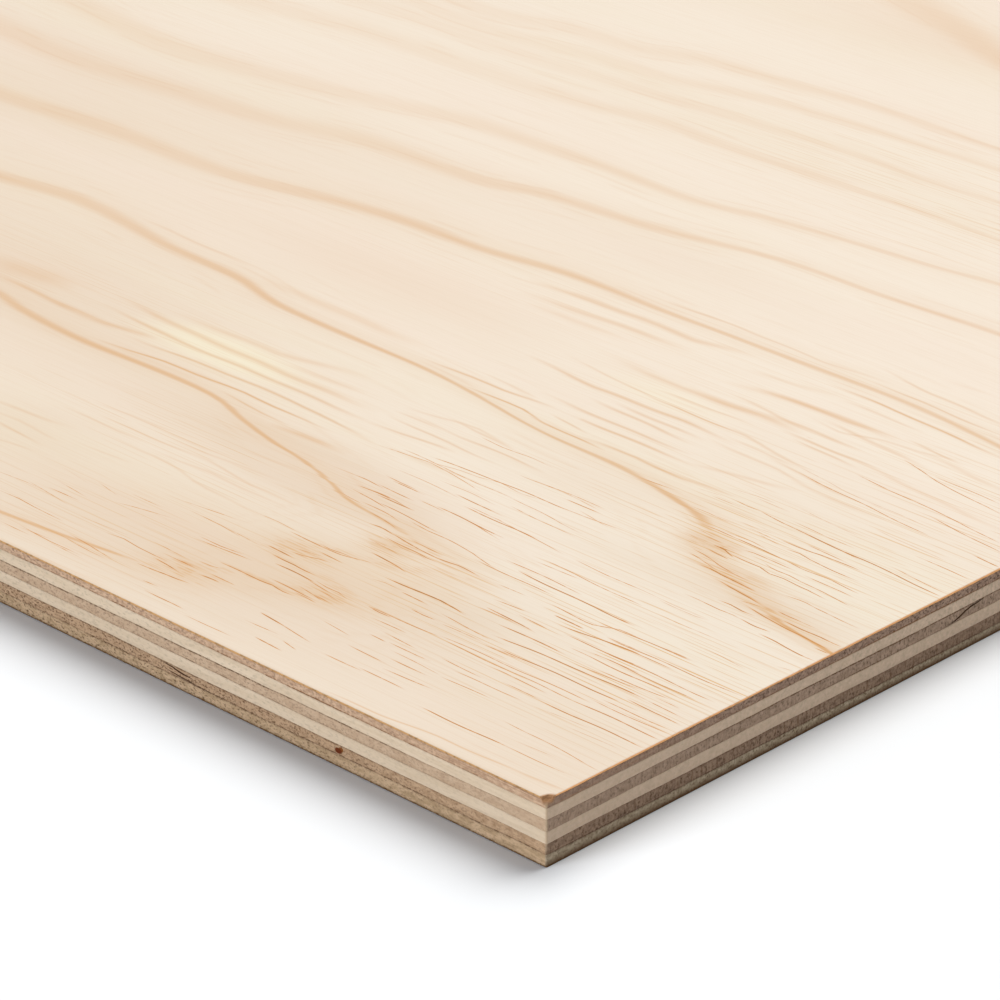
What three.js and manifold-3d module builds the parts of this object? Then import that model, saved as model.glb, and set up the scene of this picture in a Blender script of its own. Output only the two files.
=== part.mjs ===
// A sheet of seven-ply pine plywood, lying flat. Millimetres, +Z up.
// The origin is the middle of the sheet's underside. +X runs along the face grain and the long side.
// The worn corner, with its bruise and the two open laps, is the one at +X, -Y.
import * as THREE from "three";
import { mergeVertices } from "three/addons/utils/BufferGeometryUtils.js";
import Module from "manifold-3d";

// Sheet
const sheetLength = 2440;
const sheetWidth = 1220;
const arris = 0.25; // sanded off the long edges of both outer faces
const cornerRadius = 0.5; // of the four upright corners

// Ply thicknesses, from the underside up
const backThickness = 3.2;
const lowerCrossbandThickness = 3.0;
const lowerCoreThickness = 3.2;
const centreThickness = 3.2;
const upperCoreThickness = 2.9;
const upperCrossbandThickness = 2.0;
const faceThickness = 0.5;

// Glue lines: pressed veneer swells and thins, so each line wanders up and down
const wanderShare = 0.12; // of the thinner ply beside the line
const wanderAlong = 340; // wave length along the sheet
const wanderAcross = 300; // wave length across the sheet
const flatCorner = 8; // the lines run level this near to the worn corner

// Mesh lines: close together on the stretch beside the worn corner, and wide apart after it
const closeStep = 32;
const closeSteps = 6;
const wideStepsAlong = 8;
const wideStepsAcross = 4;

// Bruise at the top of the worn corner
const bruiseAlong = 2.2;
const bruiseAcross = 3.0;
const bruiseDepth = faceThickness + 0.9 * upperCrossbandThickness;

// Open laps, where two strips of a cross ply meet on a slant
const lapGap = 0.55;
const lapDepth = 4;
const lapMargin = 0.3; // of whole wood left above and below a lap
const endLapStart = 144; // from the worn corner along the short side, in the centre ply
const endLapRun = 12;
const sideLapStart = 118.5; // from the worn corner along the long side, in the lower crossband
const sideLapRun = 8;
const cutterReach = 1; // that a cutter stands out past the wood

const wasm = await Module();
wasm.setup();

const plies = [
  { name: "back_veneer", thickness: backThickness, colour: 0xb99a74 },
  { name: "lower_crossband", thickness: lowerCrossbandThickness, colour: 0xa98664 },
  { name: "lower_core_ply", thickness: lowerCoreThickness, colour: 0xd3bd98 },
  { name: "centre_ply", thickness: centreThickness, colour: 0xb59673 },
  { name: "upper_core_ply", thickness: upperCoreThickness, colour: 0xd8c6a4 },
  { name: "upper_crossband", thickness: upperCrossbandThickness, colour: 0xb08a66 },
  { name: "face_veneer", thickness: faceThickness, colour: 0xefd9b8 },
];

// The levels of the underside, the six glue lines and the face
const levels = [0];
for (const ply of plies) levels.push(levels.at(-1) + ply.thickness);

// Where in its wave each glue line starts at the worn corner, in degrees, along and across the sheet
const phases = [
  { along: 0, across: 0 },
  { along: -60, across: 62 },
  { along: -48, across: 68 },
  { along: 40, across: 25 },
  { along: 55, across: -20 },
  { along: 20, across: 58 },
  { along: -35, across: 30 },
];

// Height of level k at a place given by its distances from the worn corner's two edges.
function heightOf(k, fromEnd, fromSide) {
  if (k === 0 || k === plies.length) return levels[k];
  const thinner = Math.min(plies[k - 1].thickness, plies[k].thickness);
  const wave = (distance, length, degrees) => {
    const start = THREE.MathUtils.degToRad(degrees);
    const turn = (2 * Math.PI * Math.max(0, distance - flatCorner)) / length;
    return Math.sin(start + turn) - Math.sin(start);
  };
  const along = wave(fromEnd, wanderAlong, phases[k].along);
  const across = wave(fromSide, wanderAcross, phases[k].across);
  return levels[k] + (wanderShare * thinner * (along + across)) / 2;
}

// Distances from the worn corner at which the mesh is divided.
function meshLines(size, wideSteps) {
  const lines = [0, cornerRadius, flatCorner];
  for (let i = 1; i <= closeSteps; i++) lines.push(flatCorner + i * closeStep);
  const wideStart = lines.at(-1);
  const wideEnd = size - cornerRadius;
  for (let i = 1; i <= wideSteps; i++) lines.push(THREE.MathUtils.lerp(wideStart, wideEnd, i / wideSteps));
  lines.push(size);
  return lines;
}
const linesAlong = meshLines(sheetLength, wideStepsAlong);
const linesAcross = meshLines(sheetWidth, wideStepsAcross);

// BoxGeometry splits the squares of its upper and lower face on opposite diagonals.
// The lower face is split again here like the upper one, so that plies meet triangle on triangle.
function splitLowerFaceLikeUpper(box) {
  const lowerFace = box.groups.find((group) => group.materialIndex === 5);
  const index = box.index;
  for (let at = lowerFace.start; at < lowerFace.start + lowerFace.count; at += 6) {
    const [a, b, d, , c] = index.array.slice(at, at + 6);
    index.array.set([a, b, c, a, c, d], at);
  }
}

// One ply: a divided box whose points are moved onto its rows. Each row has a height and an inset.
function plyGeometry(rows) {
  const stepsAlong = linesAlong.length - 1;
  const stepsAcross = linesAcross.length - 1;
  const box = new THREE.BoxGeometry(1, 1, 1, stepsAlong, stepsAcross, rows.length - 1);
  splitLowerFaceLikeUpper(box);
  const points = box.attributes.position;
  for (let p = 0; p < points.count; p++) {
    const i = Math.round((0.5 - points.getX(p)) * stepsAlong);
    const j = Math.round((0.5 + points.getY(p)) * stepsAcross);
    const row = rows[Math.round((0.5 + points.getZ(p)) * (rows.length - 1))];
    const onEnd = i === 0 || i === stepsAlong;
    const onSide = j === 0 || j === stepsAcross;
    const cornerPull = cornerRadius - (cornerRadius - row.inset) * Math.SQRT1_2;
    const pull = onEnd && onSide ? cornerPull : row.inset;
    let x = sheetLength / 2 - linesAlong[i];
    let y = linesAcross[j] - sheetWidth / 2;
    if (onEnd) x -= Math.sign(x) * pull;
    if (onSide) y -= Math.sign(y) * pull;
    points.setXYZ(p, x, y, row.height(linesAlong[i], linesAcross[j]));
  }
  return box;
}

// The rows of ply k, from its underside up: two, and a third where an outer face has its arris.
function rowsOf(k) {
  const rows = [
    { height: (fromEnd, fromSide) => heightOf(k, fromEnd, fromSide), inset: 0 },
    { height: (fromEnd, fromSide) => heightOf(k + 1, fromEnd, fromSide), inset: 0 },
  ];
  const underside = { height: () => levels[0], inset: arris };
  const topside = { height: () => levels.at(-1), inset: arris };
  if (k === 0) rows.splice(0, 1, underside, { height: () => levels[0] + arris, inset: 0 });
  if (k === plies.length - 1) rows.splice(1, 1, { height: () => levels.at(-1) - arris, inset: 0 }, topside);
  return rows;
}

function toSolid(geometry) {
  const bare = geometry.clone();
  bare.deleteAttribute("normal");
  bare.deleteAttribute("uv");
  const merged = mergeVertices(bare);
  const triVerts = new Uint32Array(merged.index.array);
  const vertProperties = merged.attributes.position.array;
  return new wasm.Manifold(new wasm.Mesh({ numProp: 3, vertProperties, triVerts }));
}

function toGeometry(solid) {
  const mesh = solid.getMesh();
  const geometry = new THREE.BufferGeometry();
  geometry.setAttribute("position", new THREE.BufferAttribute(mesh.vertProperties, 3));
  geometry.setIndex(new THREE.BufferAttribute(mesh.triVerts, 1));
  const faceted = geometry.toNonIndexed();
  faceted.computeVertexNormals();
  return faceted;
}

// A dent shaped like part of a rough ball, over the top of the worn corner.
function bruiseCutter() {
  const ball = new THREE.IcosahedronGeometry(1, 1);
  ball.scale(bruiseAlong, bruiseAcross, bruiseDepth);
  ball.translate(sheetLength / 2, -sheetWidth / 2, levels.at(-1));
  return toSolid(ball);
}

// A slit with pointed ends, drawn on the sawn edge from one point to the other.
function lapOutline(from, to) {
  const across = new THREE.Vector2(from.y - to.y, to.x - from.x).setLength(lapGap);
  const middle = from.clone().lerp(to, 0.5);
  const outline = new THREE.Shape().moveTo(from.x, from.y);
  outline.quadraticCurveTo(middle.x - across.x, middle.y - across.y, to.x, to.y);
  outline.quadraticCurveTo(middle.x + across.x, middle.y + across.y, from.x, from.y);
  return outline;
}

// A point on a sawn edge: its distance from the worn corner, and its height beside level k.
const edgePoint = (distance, height) => new THREE.Vector2(distance, height);

// The lap in the centre ply, open on the short side. It climbs away from the corner.
function endLapCutter() {
  const k = plies.findIndex((ply) => ply.name === "centre_ply");
  const end = endLapStart + endLapRun;
  const from = edgePoint(endLapStart, heightOf(k, 0, endLapStart) + lapMargin);
  const to = edgePoint(end, heightOf(k + 1, 0, end) - lapMargin);
  const depth = lapDepth + cutterReach;
  const slit = new THREE.ExtrudeGeometry(lapOutline(from, to), { depth, bevelEnabled: false, curveSegments: 4 });
  const facing = new THREE.Matrix4().makeBasis(
    new THREE.Vector3(0, 1, 0),
    new THREE.Vector3(0, 0, 1),
    new THREE.Vector3(1, 0, 0),
  );
  slit.applyMatrix4(facing);
  slit.translate(sheetLength / 2 - lapDepth, -sheetWidth / 2, 0);
  return toSolid(slit);
}

// The lap in the lower crossband, open on the long side. It climbs away from the corner and halfway down.
function sideLapCutter() {
  const k = plies.findIndex((ply) => ply.name === "lower_crossband");
  const end = sideLapStart + sideLapRun;
  const middleHeight = (heightOf(k, sideLapStart, 0) + heightOf(k + 1, sideLapStart, 0)) / 2;
  const from = edgePoint(sideLapStart, middleHeight);
  const to = edgePoint(end, heightOf(k + 1, end, 0) - lapMargin);
  const depth = lapDepth + cutterReach;
  const slit = new THREE.ExtrudeGeometry(lapOutline(from, to), { depth, bevelEnabled: false, curveSegments: 4 });
  const facing = new THREE.Matrix4().makeBasis(
    new THREE.Vector3(-1, 0, 0),
    new THREE.Vector3(0, 0, 1),
    new THREE.Vector3(0, 1, 0),
  );
  slit.applyMatrix4(facing);
  slit.translate(sheetLength / 2, -sheetWidth / 2 - cutterReach, 0);
  return toSolid(slit);
}

const cuts = {
  face_veneer: bruiseCutter,
  upper_crossband: bruiseCutter,
  centre_ply: endLapCutter,
  lower_crossband: sideLapCutter,
};

const sheet = new THREE.Group();
sheet.name = "plywood_sheet";
plies.forEach((ply, k) => {
  const whole = toSolid(plyGeometry(rowsOf(k)));
  const cutter = cuts[ply.name];
  const solid = cutter ? whole.subtract(cutter()) : whole;
  const material = new THREE.MeshStandardMaterial({ color: ply.colour, roughness: 0.75, metalness: 0 });
  const mesh = new THREE.Mesh(toGeometry(solid), material);
  mesh.name = ply.name;
  sheet.add(mesh);
});

export default sheet;
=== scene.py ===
"""A sheet of seven-ply pine plywood, dressed ply by ply over its solids."""

import bmesh
import bpy
import math
import numpy as np
from collections import namedtuple
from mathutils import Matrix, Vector, noise


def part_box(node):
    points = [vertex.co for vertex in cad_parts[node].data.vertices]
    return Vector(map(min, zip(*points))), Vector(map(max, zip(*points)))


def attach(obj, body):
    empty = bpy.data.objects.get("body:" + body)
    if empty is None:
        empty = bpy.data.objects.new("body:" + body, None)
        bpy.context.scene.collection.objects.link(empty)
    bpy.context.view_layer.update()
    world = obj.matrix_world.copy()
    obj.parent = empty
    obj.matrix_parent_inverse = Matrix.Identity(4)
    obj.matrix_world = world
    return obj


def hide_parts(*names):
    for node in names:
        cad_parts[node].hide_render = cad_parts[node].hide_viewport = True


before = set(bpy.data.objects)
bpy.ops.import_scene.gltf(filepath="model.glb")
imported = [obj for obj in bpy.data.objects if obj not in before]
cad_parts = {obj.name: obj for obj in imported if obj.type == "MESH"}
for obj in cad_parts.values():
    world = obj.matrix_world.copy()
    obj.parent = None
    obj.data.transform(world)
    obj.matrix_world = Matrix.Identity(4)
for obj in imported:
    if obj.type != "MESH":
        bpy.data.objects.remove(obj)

bl_info = {
    "name": "Plywood Sheet",
    "version": (1, 0, 0),
    "blender": (4, 5, 0),
    "location": "3D View > Sidebar > Plywood",
    "description": "Builds a lying sheet of seven-ply pine plywood",
    "category": "Add Mesh",
}

MM = 0.001

# The plies from the underside up. Glue line k lies under ply k.
PLIES = (
    "back_veneer",
    "lower_crossband",
    "lower_core_ply",
    "centre_ply",
    "upper_core_ply",
    "upper_crossband",
    "face_veneer",
)
CROSS_PLIES = ("lower_crossband", "centre_ply", "upper_crossband")

SHEET_LOW = Vector([min(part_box(ply)[0][axis] for ply in PLIES) for axis in range(3)])
SHEET_HIGH = Vector([max(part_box(ply)[1][axis] for ply in PLIES) for axis in range(3)])
LENGTH = (SHEET_HIGH.x - SHEET_LOW.x) / MM
WIDTH = (SHEET_HIGH.y - SHEET_LOW.y) / MM
THICKNESS = (SHEET_HIGH.z - SHEET_LOW.z) / MM


# ---------------------------------------------------------------- places on the sheet
# A place is given in millimetres: "along" and "across" are distances from the worn corner,
# along the face grain and across it, and "height" is above the underside. A "distance" is the
# one that runs with an edge: along on the long side, across on the end.

NEAR_EDGE = 0.01  # a point as near to an edge as this is on it

# How finely the meshes are divided, from the worn corner on: how far each span reaches, and its step
WALL_SPANS = ((4, 0.35), (200, 0.75), (420, 5), (LENGTH, 24))
FACE_SPANS_ALONG = ((3.2, 0.4), (150, 2.1), (320, 6), (520, 12.5), (LENGTH, 42))
FACE_SPANS_ACROSS = ((3.2, 0.4), (122, 0.6), (236, 1.05), (500, 4.0), (WIDTH, 18))


def place(along, across, height):
    return Vector((SHEET_HIGH.x - along * MM, SHEET_LOW.y + across * MM, SHEET_LOW.z + height * MM))


def along_of(co):
    return (SHEET_HIGH.x - co.x) / MM


def across_of(co):
    return (co.y - SHEET_LOW.y) / MM


def height_of(co):
    return (co.z - SHEET_LOW.z) / MM


def stations(first, last, spans):
    """Places on an edge from first to last, as close together as each span's step."""
    places = [first]
    for reach, step in spans:
        reach = min(reach, last)
        steps = max(1, round((reach - places[-1]) / step))
        places.extend(np.linspace(places[-1], reach, steps + 1)[1:])
    return np.array(places)


def rim_point(along, across, radius, inset):
    """A point of the sheet's outline, pulled in by the inset, with its upright corners rounded."""
    inner_along = min(max(along, radius), LENGTH - radius)
    inner_across = min(max(across, radius), WIDTH - radius)
    out = Vector((along - inner_along, across - inner_across))
    out.normalize()
    return inner_along + out.x * (radius - inset), inner_across + out.y * (radius - inset)


# ---------------------------------------------------------------- glue lines

WHOLE_COLUMN = 0.6  # share of a ply's thickness that a column of its solid's points spans, away from laps


def upper_rims(ply):
    """Upper rim of a ply's solid on the long side and on the end, each as stations and heights."""
    low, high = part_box(ply)
    points = [vert.co for vert in bpy.data.objects[ply].data.vertices]
    on_side = [co for co in points if across_of(co) < NEAR_EDGE]
    on_end = [co for co in points if along_of(co) < NEAR_EDGE]
    edges = []
    for on_edge, distance_of in ((on_side, along_of), (on_end, across_of)):
        columns = {}
        for co in on_edge:
            columns.setdefault(round(distance_of(co), 1), []).append(height_of(co))
        least = WHOLE_COLUMN * (high.z - low.z) / MM
        whole = sorted(at for at, heights in columns.items() if max(heights) - min(heights) > least)
        edges.append((whole, [max(columns[at]) for at in whole]))
    return edges


RIMS = [upper_rims(ply) for ply in PLIES[:-1]]

# How each glue line runs beside the worn corner, on the long side and on the end: distance from the
# corner, how far the line lies above its solid's rim, and how dark it is there
GLUE_RUNS = {
    1: (
        (
            (0, 0.1, 0.7), (7, 0.3, 0.8), (20, 0.04, 0.8), (60, 0, 0.75), (80, -0.23, 0.85),
            (100, -0.34, 0.8), (120, -0.34, 0.9), (140, -0.45, 0.8), (170, -0.3, 0.5), (320, 0, 0.7),
        ),
        (
            (0, 0, 0.8), (7, -0.1, 0.9), (20, -0.2, 1), (40, -0.4, 1), (60, -0.43, 1), (80, -0.4, 1.1),
            (100, -0.4, 1), (120, -0.5, 1), (140, -0.6, 1), (170, -0.5, 0.9), (320, 0, 0.8),
        ),
    ),
    2: (
        (
            (0, 0, 0), (20, 0, 0.1), (40, -0.2, 0.5), (60, -0.37, 0.8), (80, -0.37, 0.7), (100, -0.5, 0.8),
            (120, -0.63, 1), (140, -0.53, 1), (170, -0.4, 0.7), (320, 0, 0.7),
        ),
        (
            (0, 0, 0), (20, -0.1, 0), (40, -0.2, 0.1), (60, -0.2, 1), (80, -0.2, 0.4), (100, -0.3, 0.2),
            (120, -0.5, 0.4), (150, -0.4, 0.1), (320, 0, 0.4),
        ),
    ),
    3: (
        (
            (0, 0, 0), (7, 0.05, 0.1), (20, 0.1, 0.4), (40, -0.05, 0.45), (60, -0.15, 0.5),
            (80, -0.1, 0.75), (100, 0, 0.75), (120, 0.1, 1), (140, 0.15, 0.5), (170, 0.1, 0.4),
            (320, 0, 0.6),
        ),
        (
            (0, 0, 0), (20, -0.15, 0), (60, -0.22, 0.1), (80, -0.28, 0.2), (95, -0.3, 0.6),
            (106, -0.32, 0.9), (111, -0.33, 2.2), (114, -0.33, 1.3), (140, -0.4, 0.7), (170, -0.3, 0.4),
            (320, 0, 0.5),
        ),
    ),
    4: (
        (
            (0, -0.05, 0), (7, -0.08, 0.1), (20, -0.22, 0.25), (40, -0.33, 0.4), (60, -0.22, 0.85),
            (80, -0.2, 0.85), (100, -0.2, 1), (120, -0.1, 0.95), (140, 0, 0.85), (170, 0, 0.8),
            (320, 0, 0.7),
        ),
        (
            (0, -0.05, 0), (7, -0.2, 0.1), (20, -0.3, 0.1), (40, -0.33, 0.1), (60, -0.5, 0.6),
            (80, -0.47, 0.9), (100, -0.65, 1), (120, -0.77, 1.2), (140, -0.83, 0.9), (170, -0.6, 0.8),
            (320, 0, 0.7),
        ),
    ),
    5: (
        (
            (0, 0, 0), (7, -0.03, 0.1), (20, -0.05, 0.5), (40, -0.1, 0.8), (60, -0.2, 0.7), (80, -0.2, 1.3),
            (100, -0.1, 0.7), (120, 0, 0.5), (140, 0.05, 0.9), (165, 0.35, 0.6), (185, 0.1, 0.6),
            (320, 0, 0.7),
        ),
        (
            (0, -0.05, 0), (7, -0.14, 0), (20, -0.2, 0), (40, -0.27, 0.1), (60, -0.4, 0.4), (80, -0.3, 0.5),
            (100, -0.3, 0.6), (120, -0.3, 1.1), (140, -0.4, 1.1), (170, -0.3, 0.9), (320, 0, 0.7),
        ),
    ),
    6: (
        ((0, 0, 0), (50, -0.05, 0), (90, -0.15, 0), (150, -0.1, 0), (320, 0, 0)),
        ((0, 0, 0), (10, -0.12, 0), (150, -0.15, 0), (320, 0, 0)),
    ),
}
GLUE_RUNS = {line: [np.array(run, dtype=float).T for run in runs] for line, runs in GLUE_RUNS.items()}
RUN_REACH = 60  # how far in from its edge a run carries on

# Fine wander of the glue lines: length of its waves, how high they are, and where each line takes them from
WANDERS = ((11, 0.10, 7.3), (2.6, 0.05, 3.1))


def glue_height(line, along, across):
    """Height of a glue line. It wanders as the pressed veneer does."""
    if line == 0:
        return 0.0
    if line == len(PLIES):
        return THICKNESS
    (at_along, top_along), (at_across, top_across) = RIMS[line - 1]
    height = np.interp(along, at_along, top_along) + np.interp(across, at_across, top_across) - top_along[0]
    for (near, rises, _), distance, off in zip(GLUE_RUNS[line], (along, across), (across, along)):
        height += np.interp(distance, near, rises) * math.exp(-((off / RUN_REACH) ** 2))
    for wave, rise, start in WANDERS:
        height += rise * noise.noise(Vector((along / wave, across / wave, start * line)))
    return height


def glue_shown(line, on_end, distance):
    """How dark a glue line shows at a distance from the worn corner. The underside's edge, where no glue
    runs, always shows dark: painted contact shade where the sheet meets the floor.
    """
    if line not in GLUE_RUNS:
        return 1.0
    near, _, shown = GLUE_RUNS[line][1 if on_end else 0]
    return np.interp(distance, near, shown)


# ---------------------------------------------------------------- bruise on the worn corner

BRUISE_ALONG = 1.7
BRUISE_ACROSS = 2.5
BRUISE_DEPTH = 1.5
BRUISE_ROUGHNESS = 0.10  # share of its size by which the dent is uneven
BRUISE_LUMPS = 2.1  # lumps to a millimetre
BRUISE_FRINGE = 0.35  # share of its size over which the wood beside it is bruised as well


def bruised(along, across, height):
    """Pushes a point back onto the dent in the worn corner. Returns its place and how bruised it is."""
    a, b, c = along / BRUISE_ALONG, across / BRUISE_ACROSS, (THICKNESS - height) / BRUISE_DEPTH
    reach = a * a + b * b + c * c
    if reach >= 1:
        return along, across, max(0.0, 1 - (math.sqrt(reach) - 1) / BRUISE_FRINGE)
    push = (math.sqrt(max(0.0, 2 * (1 - c * c) - (a - b) ** 2)) - a - b) / 2
    lump = noise.noise(Vector((BRUISE_LUMPS * along, BRUISE_LUMPS * across, BRUISE_LUMPS * height)))
    rough = 1 + BRUISE_ROUGHNESS * lump
    return (a + push) * BRUISE_ALONG * rough, (b + push) * BRUISE_ACROSS * rough, 1.0


# ---------------------------------------------------------------- plies under the face

# Open laps and seams, where two strips of a cross ply meet on a slant: the edge each is on, the points of
# its line as distance and share of the ply's thickness, then where it opens and closes, how wide and how deep
Seam = namedtuple("Seam", "edge line start end gap depth")
SEAMS = {
    "lower_crossband": (
        Seam(
            "side",
            ((98, 0.3), (108, 0.09), (116, 0.07), (121, 0.14), (126, 0.26), (130, 0.38), (142, 0.3)),
            113, 129, 0.3, 0.6,
        ),
        Seam(
            "side",
            ((108, 0.6), (119, 0.55), (123.5, 0.61), (125, 0.69), (126.5, 0.8), (129, 0.86), (142, 0.6)),
            119.5, 129.5, 0.4, 4.0,
        ),
    ),
    "centre_ply": (
        Seam(
            "end",
            (
                (134, 0.5), (143, 0.08), (146, 0.19), (148, 0.37), (150, 0.61), (152, 0.77), (156.5, 0.88),
                (168, 0.5),
            ),
            143, 157, 0.5, 4.0,
        ),
    ),
}
LIP_WIDTH = 0.1
CLOSED_LIP = 0.03  # half the width of a seam where it is closed

# Rows up a wall, as shares of its thickness
LOWER_ROWS = (0.0, 0.045, 0.11)
LOWER_ROWS_WITH_ARRIS = (0.0, 0.02, 0.045, 0.09)
MIDDLE_ROWS = (0.3, 0.7)
UPPER_ROWS = (0.89, 0.955, 1.0)

# How coarsely the wood is sawn at these distances from the worn corner: on the long side, and on the end
# for each ply from the underside up
COARSENESS_AT = (0, 40, 70, 110, 150)
SIDE_COARSENESS = (0.35, 0.7, 0.95, 1.2, 1.3)
END_COARSENESS = (
    (0.6, 0.75, 1.05, 1.0, 0.9),
    (0.9, 1.0, 1.15, 0.9, 0.85),
    (0.3, 0.4, 0.5, 0.6, 0.6),
    (1.0, 1.2, 1.2, 1.4, 1.8),
    (0.3, 0.35, 0.5, 0.8, 1.0),
    (0.6, 0.8, 1.6, 1.6, 2.6),
)

FIBRE = (0.9, 9.0, 0.7)  # of torn wood: its size across the grain, with the grain, and up

# The upright corner's edge is painted pale, partly as wear and partly as a painted highlight where the
# rounded corner catches the light: how far in it starts and fades, and how much at these heights
PALE_CORNER_FROM = 0.15
PALE_CORNER_FADE = 0.3
PALE_CORNER_AT = ((3, 7), (0.1, 1.0))

# What is written on the points of a wall, for its finish
WALL_LAYERS = (
    "above_glue",
    "below_glue",
    "corner_wear_and_highlight",
    "bruise",
    "sawn_end",
    "glue_shown",
    "rough_sawn",
    "painted_seam_shade",
)

# The back veneer's lower edge is rounded by this share of the arris
END_ROUNDING = 0.3
SIDE_ROUNDING = 0.6


def ply_rows(ply):
    """Rows up a ply's wall: a share of its thickness, a row between seams, or a part and side of a seam."""
    seams = SEAMS.get(ply, ())
    rows = [("share", share) for share in (LOWER_ROWS_WITH_ARRIS if ply == PLIES[0] else LOWER_ROWS)]
    for number in range(len(seams)):
        rows.append(("between", number))
        for part, side in (("rim", -1), ("lip", -1), ("floor", 0), ("lip", 1), ("rim", 1)):
            rows.append((part, number, side))
    if seams:
        rows.append(("between", len(seams)))
    else:
        rows.extend(("share", share) for share in MIDDLE_ROWS)
    rows.extend(("share", share) for share in UPPER_ROWS)
    return rows


def seam_at(seam, along, across):
    """Share of the thickness at which a seam's line runs, and how open it is, from 0 to 1."""
    distance, off = (along, across) if seam.edge == "side" else (across, along)
    if off > 1:
        return seam.line[0][1], 0.0
    share = np.interp(distance, *zip(*seam.line))
    if not seam.start < distance < seam.end:
        return share, 0.0
    return share, math.sin(math.pi * (distance - seam.start) / (seam.end - seam.start)) ** 0.6


def wall_point(ply, row, along, across):
    """Share of the thickness and inset of a row's point on a ply's wall."""
    seams = SEAMS.get(ply, ())
    kind, number = row[:2]
    if kind == "share":
        return number, 0.0
    if kind == "between":
        low = seam_at(seams[number - 1], along, across)[0] if number else LOWER_ROWS[-1]
        high = seam_at(seams[number], along, across)[0] if number < len(seams) else UPPER_ROWS[0]
        return (low + high) / 2, 0.0
    share, opening = seam_at(seams[number], along, across)
    if kind == "floor":
        return share, opening * seams[number].depth
    line = PLIES.index(ply)
    thickness = glue_height(line + 1, along, across) - glue_height(line, along, across)
    half = max(CLOSED_LIP, opening * seams[number].gap / 2) + (LIP_WIDTH if kind == "rim" else 0.0)
    return share + row[2] * half / thickness, 0.0


def torn(ply, along, across, height, sizes):
    """How far torn fibres stand back from the sawn face: more on end grain than on long grain."""
    cross = ply in CROSS_PLIES
    on_side = across < 1 or across > WIDTH - 1
    depth = sizes.torn_end_grain if cross == on_side else sizes.torn_long_grain
    fine, long, high = FIBRE
    if cross:
        spot = Vector((along / fine, across / long, height / high))
    else:
        spot = Vector((along / long, across / fine, height / high))
    return depth / MM * max(0.0, 0.5 + noise.noise(spot))


def wall_ring(corner_radius, row_count):
    """A ring of wall round the sheet, one metre high, and its columns on the long side and on the end."""
    bm = bmesh.new()
    bmesh.ops.create_cube(bm, size=1.0)
    bmesh.ops.scale(bm, vec=(LENGTH * MM, WIDTH * MM, 1.0), verts=bm.verts)
    lids = [face for face in bm.faces if abs(face.normal.z) > 0.5]
    bmesh.ops.delete(bm, geom=lids, context="FACES_ONLY")

    def long_edges(axis):
        return [edge for edge in bm.edges if abs(edge.verts[1].co[axis] - edge.verts[0].co[axis]) > 0.5]

    bmesh.ops.bevel(
        bm, geom=long_edges(2), offset=corner_radius, segments=3, profile=0.5, affect="EDGES", material=-1
    )
    bmesh.ops.subdivide_edges(bm, edges=long_edges(2), cuts=row_count - 2, use_grid_fill=True)
    columns = []
    radius = corner_radius / MM
    for axis, size in enumerate((LENGTH, WIDTH)):
        columns.append(stations(radius, size - radius, WALL_SPANS))
        bmesh.ops.subdivide_edges(bm, edges=long_edges(axis), cuts=len(columns[axis]) - 2, use_grid_fill=True)
    return bm, columns


def column_of(distance, size, radius, columns):
    """The column that an evenly spaced point of the ring belongs to."""
    step = (distance - radius) / (size - 2 * radius) * (len(columns) - 1)
    return columns[round(step)]


def build_ply(ply, sizes):
    """A ply under the face: a ring of wall with its seams, closed by a lid above and below."""
    index = PLIES.index(ply)
    radius = sizes.corner_radius / MM
    arris = sizes.arris / MM
    rows = ply_rows(ply)
    bm, (side_columns, end_columns) = wall_ring(sizes.corner_radius, len(rows))
    layers = [bm.verts.layers.float.new(name) for name in WALL_LAYERS]
    for vert in bm.verts:
        row = rows[round((vert.co.z + 0.5) * (len(rows) - 1))]
        along, across = along_of(vert.co), across_of(vert.co)
        if radius < along < LENGTH - radius and not NEAR_EDGE <= across <= WIDTH - NEAR_EDGE:
            along = column_of(along, LENGTH, radius, side_columns)
        if radius < across < WIDTH - radius and not NEAR_EDGE <= along <= LENGTH - NEAR_EDGE:
            across = column_of(across, WIDTH, radius, end_columns)
        on_end = not radius / 2 <= along <= LENGTH - radius / 2
        distance = across if on_end else along

        share, inset = wall_point(ply, row, along, across)
        low, high = glue_height(index, along, across), glue_height(index + 1, along, across)
        height = low + share * (high - low)
        rounding = arris * (END_ROUNDING if on_end else SIDE_ROUNDING)
        if index == 0 and height < rounding:
            inset += rounding - math.sqrt(max(0.0, rounding**2 - (rounding - height) ** 2))
        elif share in (0.0, 1.0):
            inset += sizes.glue_groove / MM
        if 0.0 < share < 1.0 and inset == 0.0:
            inset += torn(ply, along, across, height, sizes)
        out_along, out_across = rim_point(along, across, radius, inset)
        bruise = 0.0
        if ply == "upper_crossband":
            out_along, out_across, bruise = bruised(out_along, out_across, height)
        vert.co = place(out_along, out_across, height)

        # The upright corner painted pale: partly wear, partly a painted highlight
        from_corner = math.hypot(max(0.0, along - PALE_CORNER_FROM), max(0.0, across - PALE_CORNER_FROM))
        pale_corner = math.exp(-((from_corner / PALE_CORNER_FADE) ** 2)) * np.interp(height, *PALE_CORNER_AT)
        shown = glue_shown(index if share < 0.5 else index + 1, on_end, distance)
        coarseness = np.interp(distance, COARSENESS_AT, END_COARSENESS[index] if on_end else SIDE_COARSENESS)
        # Points on an open seam's lips and floor: they get painted shade
        opened = row[0] in ("lip", "floor") and seam_at(SEAMS[ply][row[1]], along, across)[1] > 0
        values = (height - low, high - height, pale_corner, bruise, on_end, shown, coarseness, opened)
        for layer, value in zip(layers, values):
            vert[layer] = float(value)
    return closed_piece(bm, "sawn_" + ply)


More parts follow.
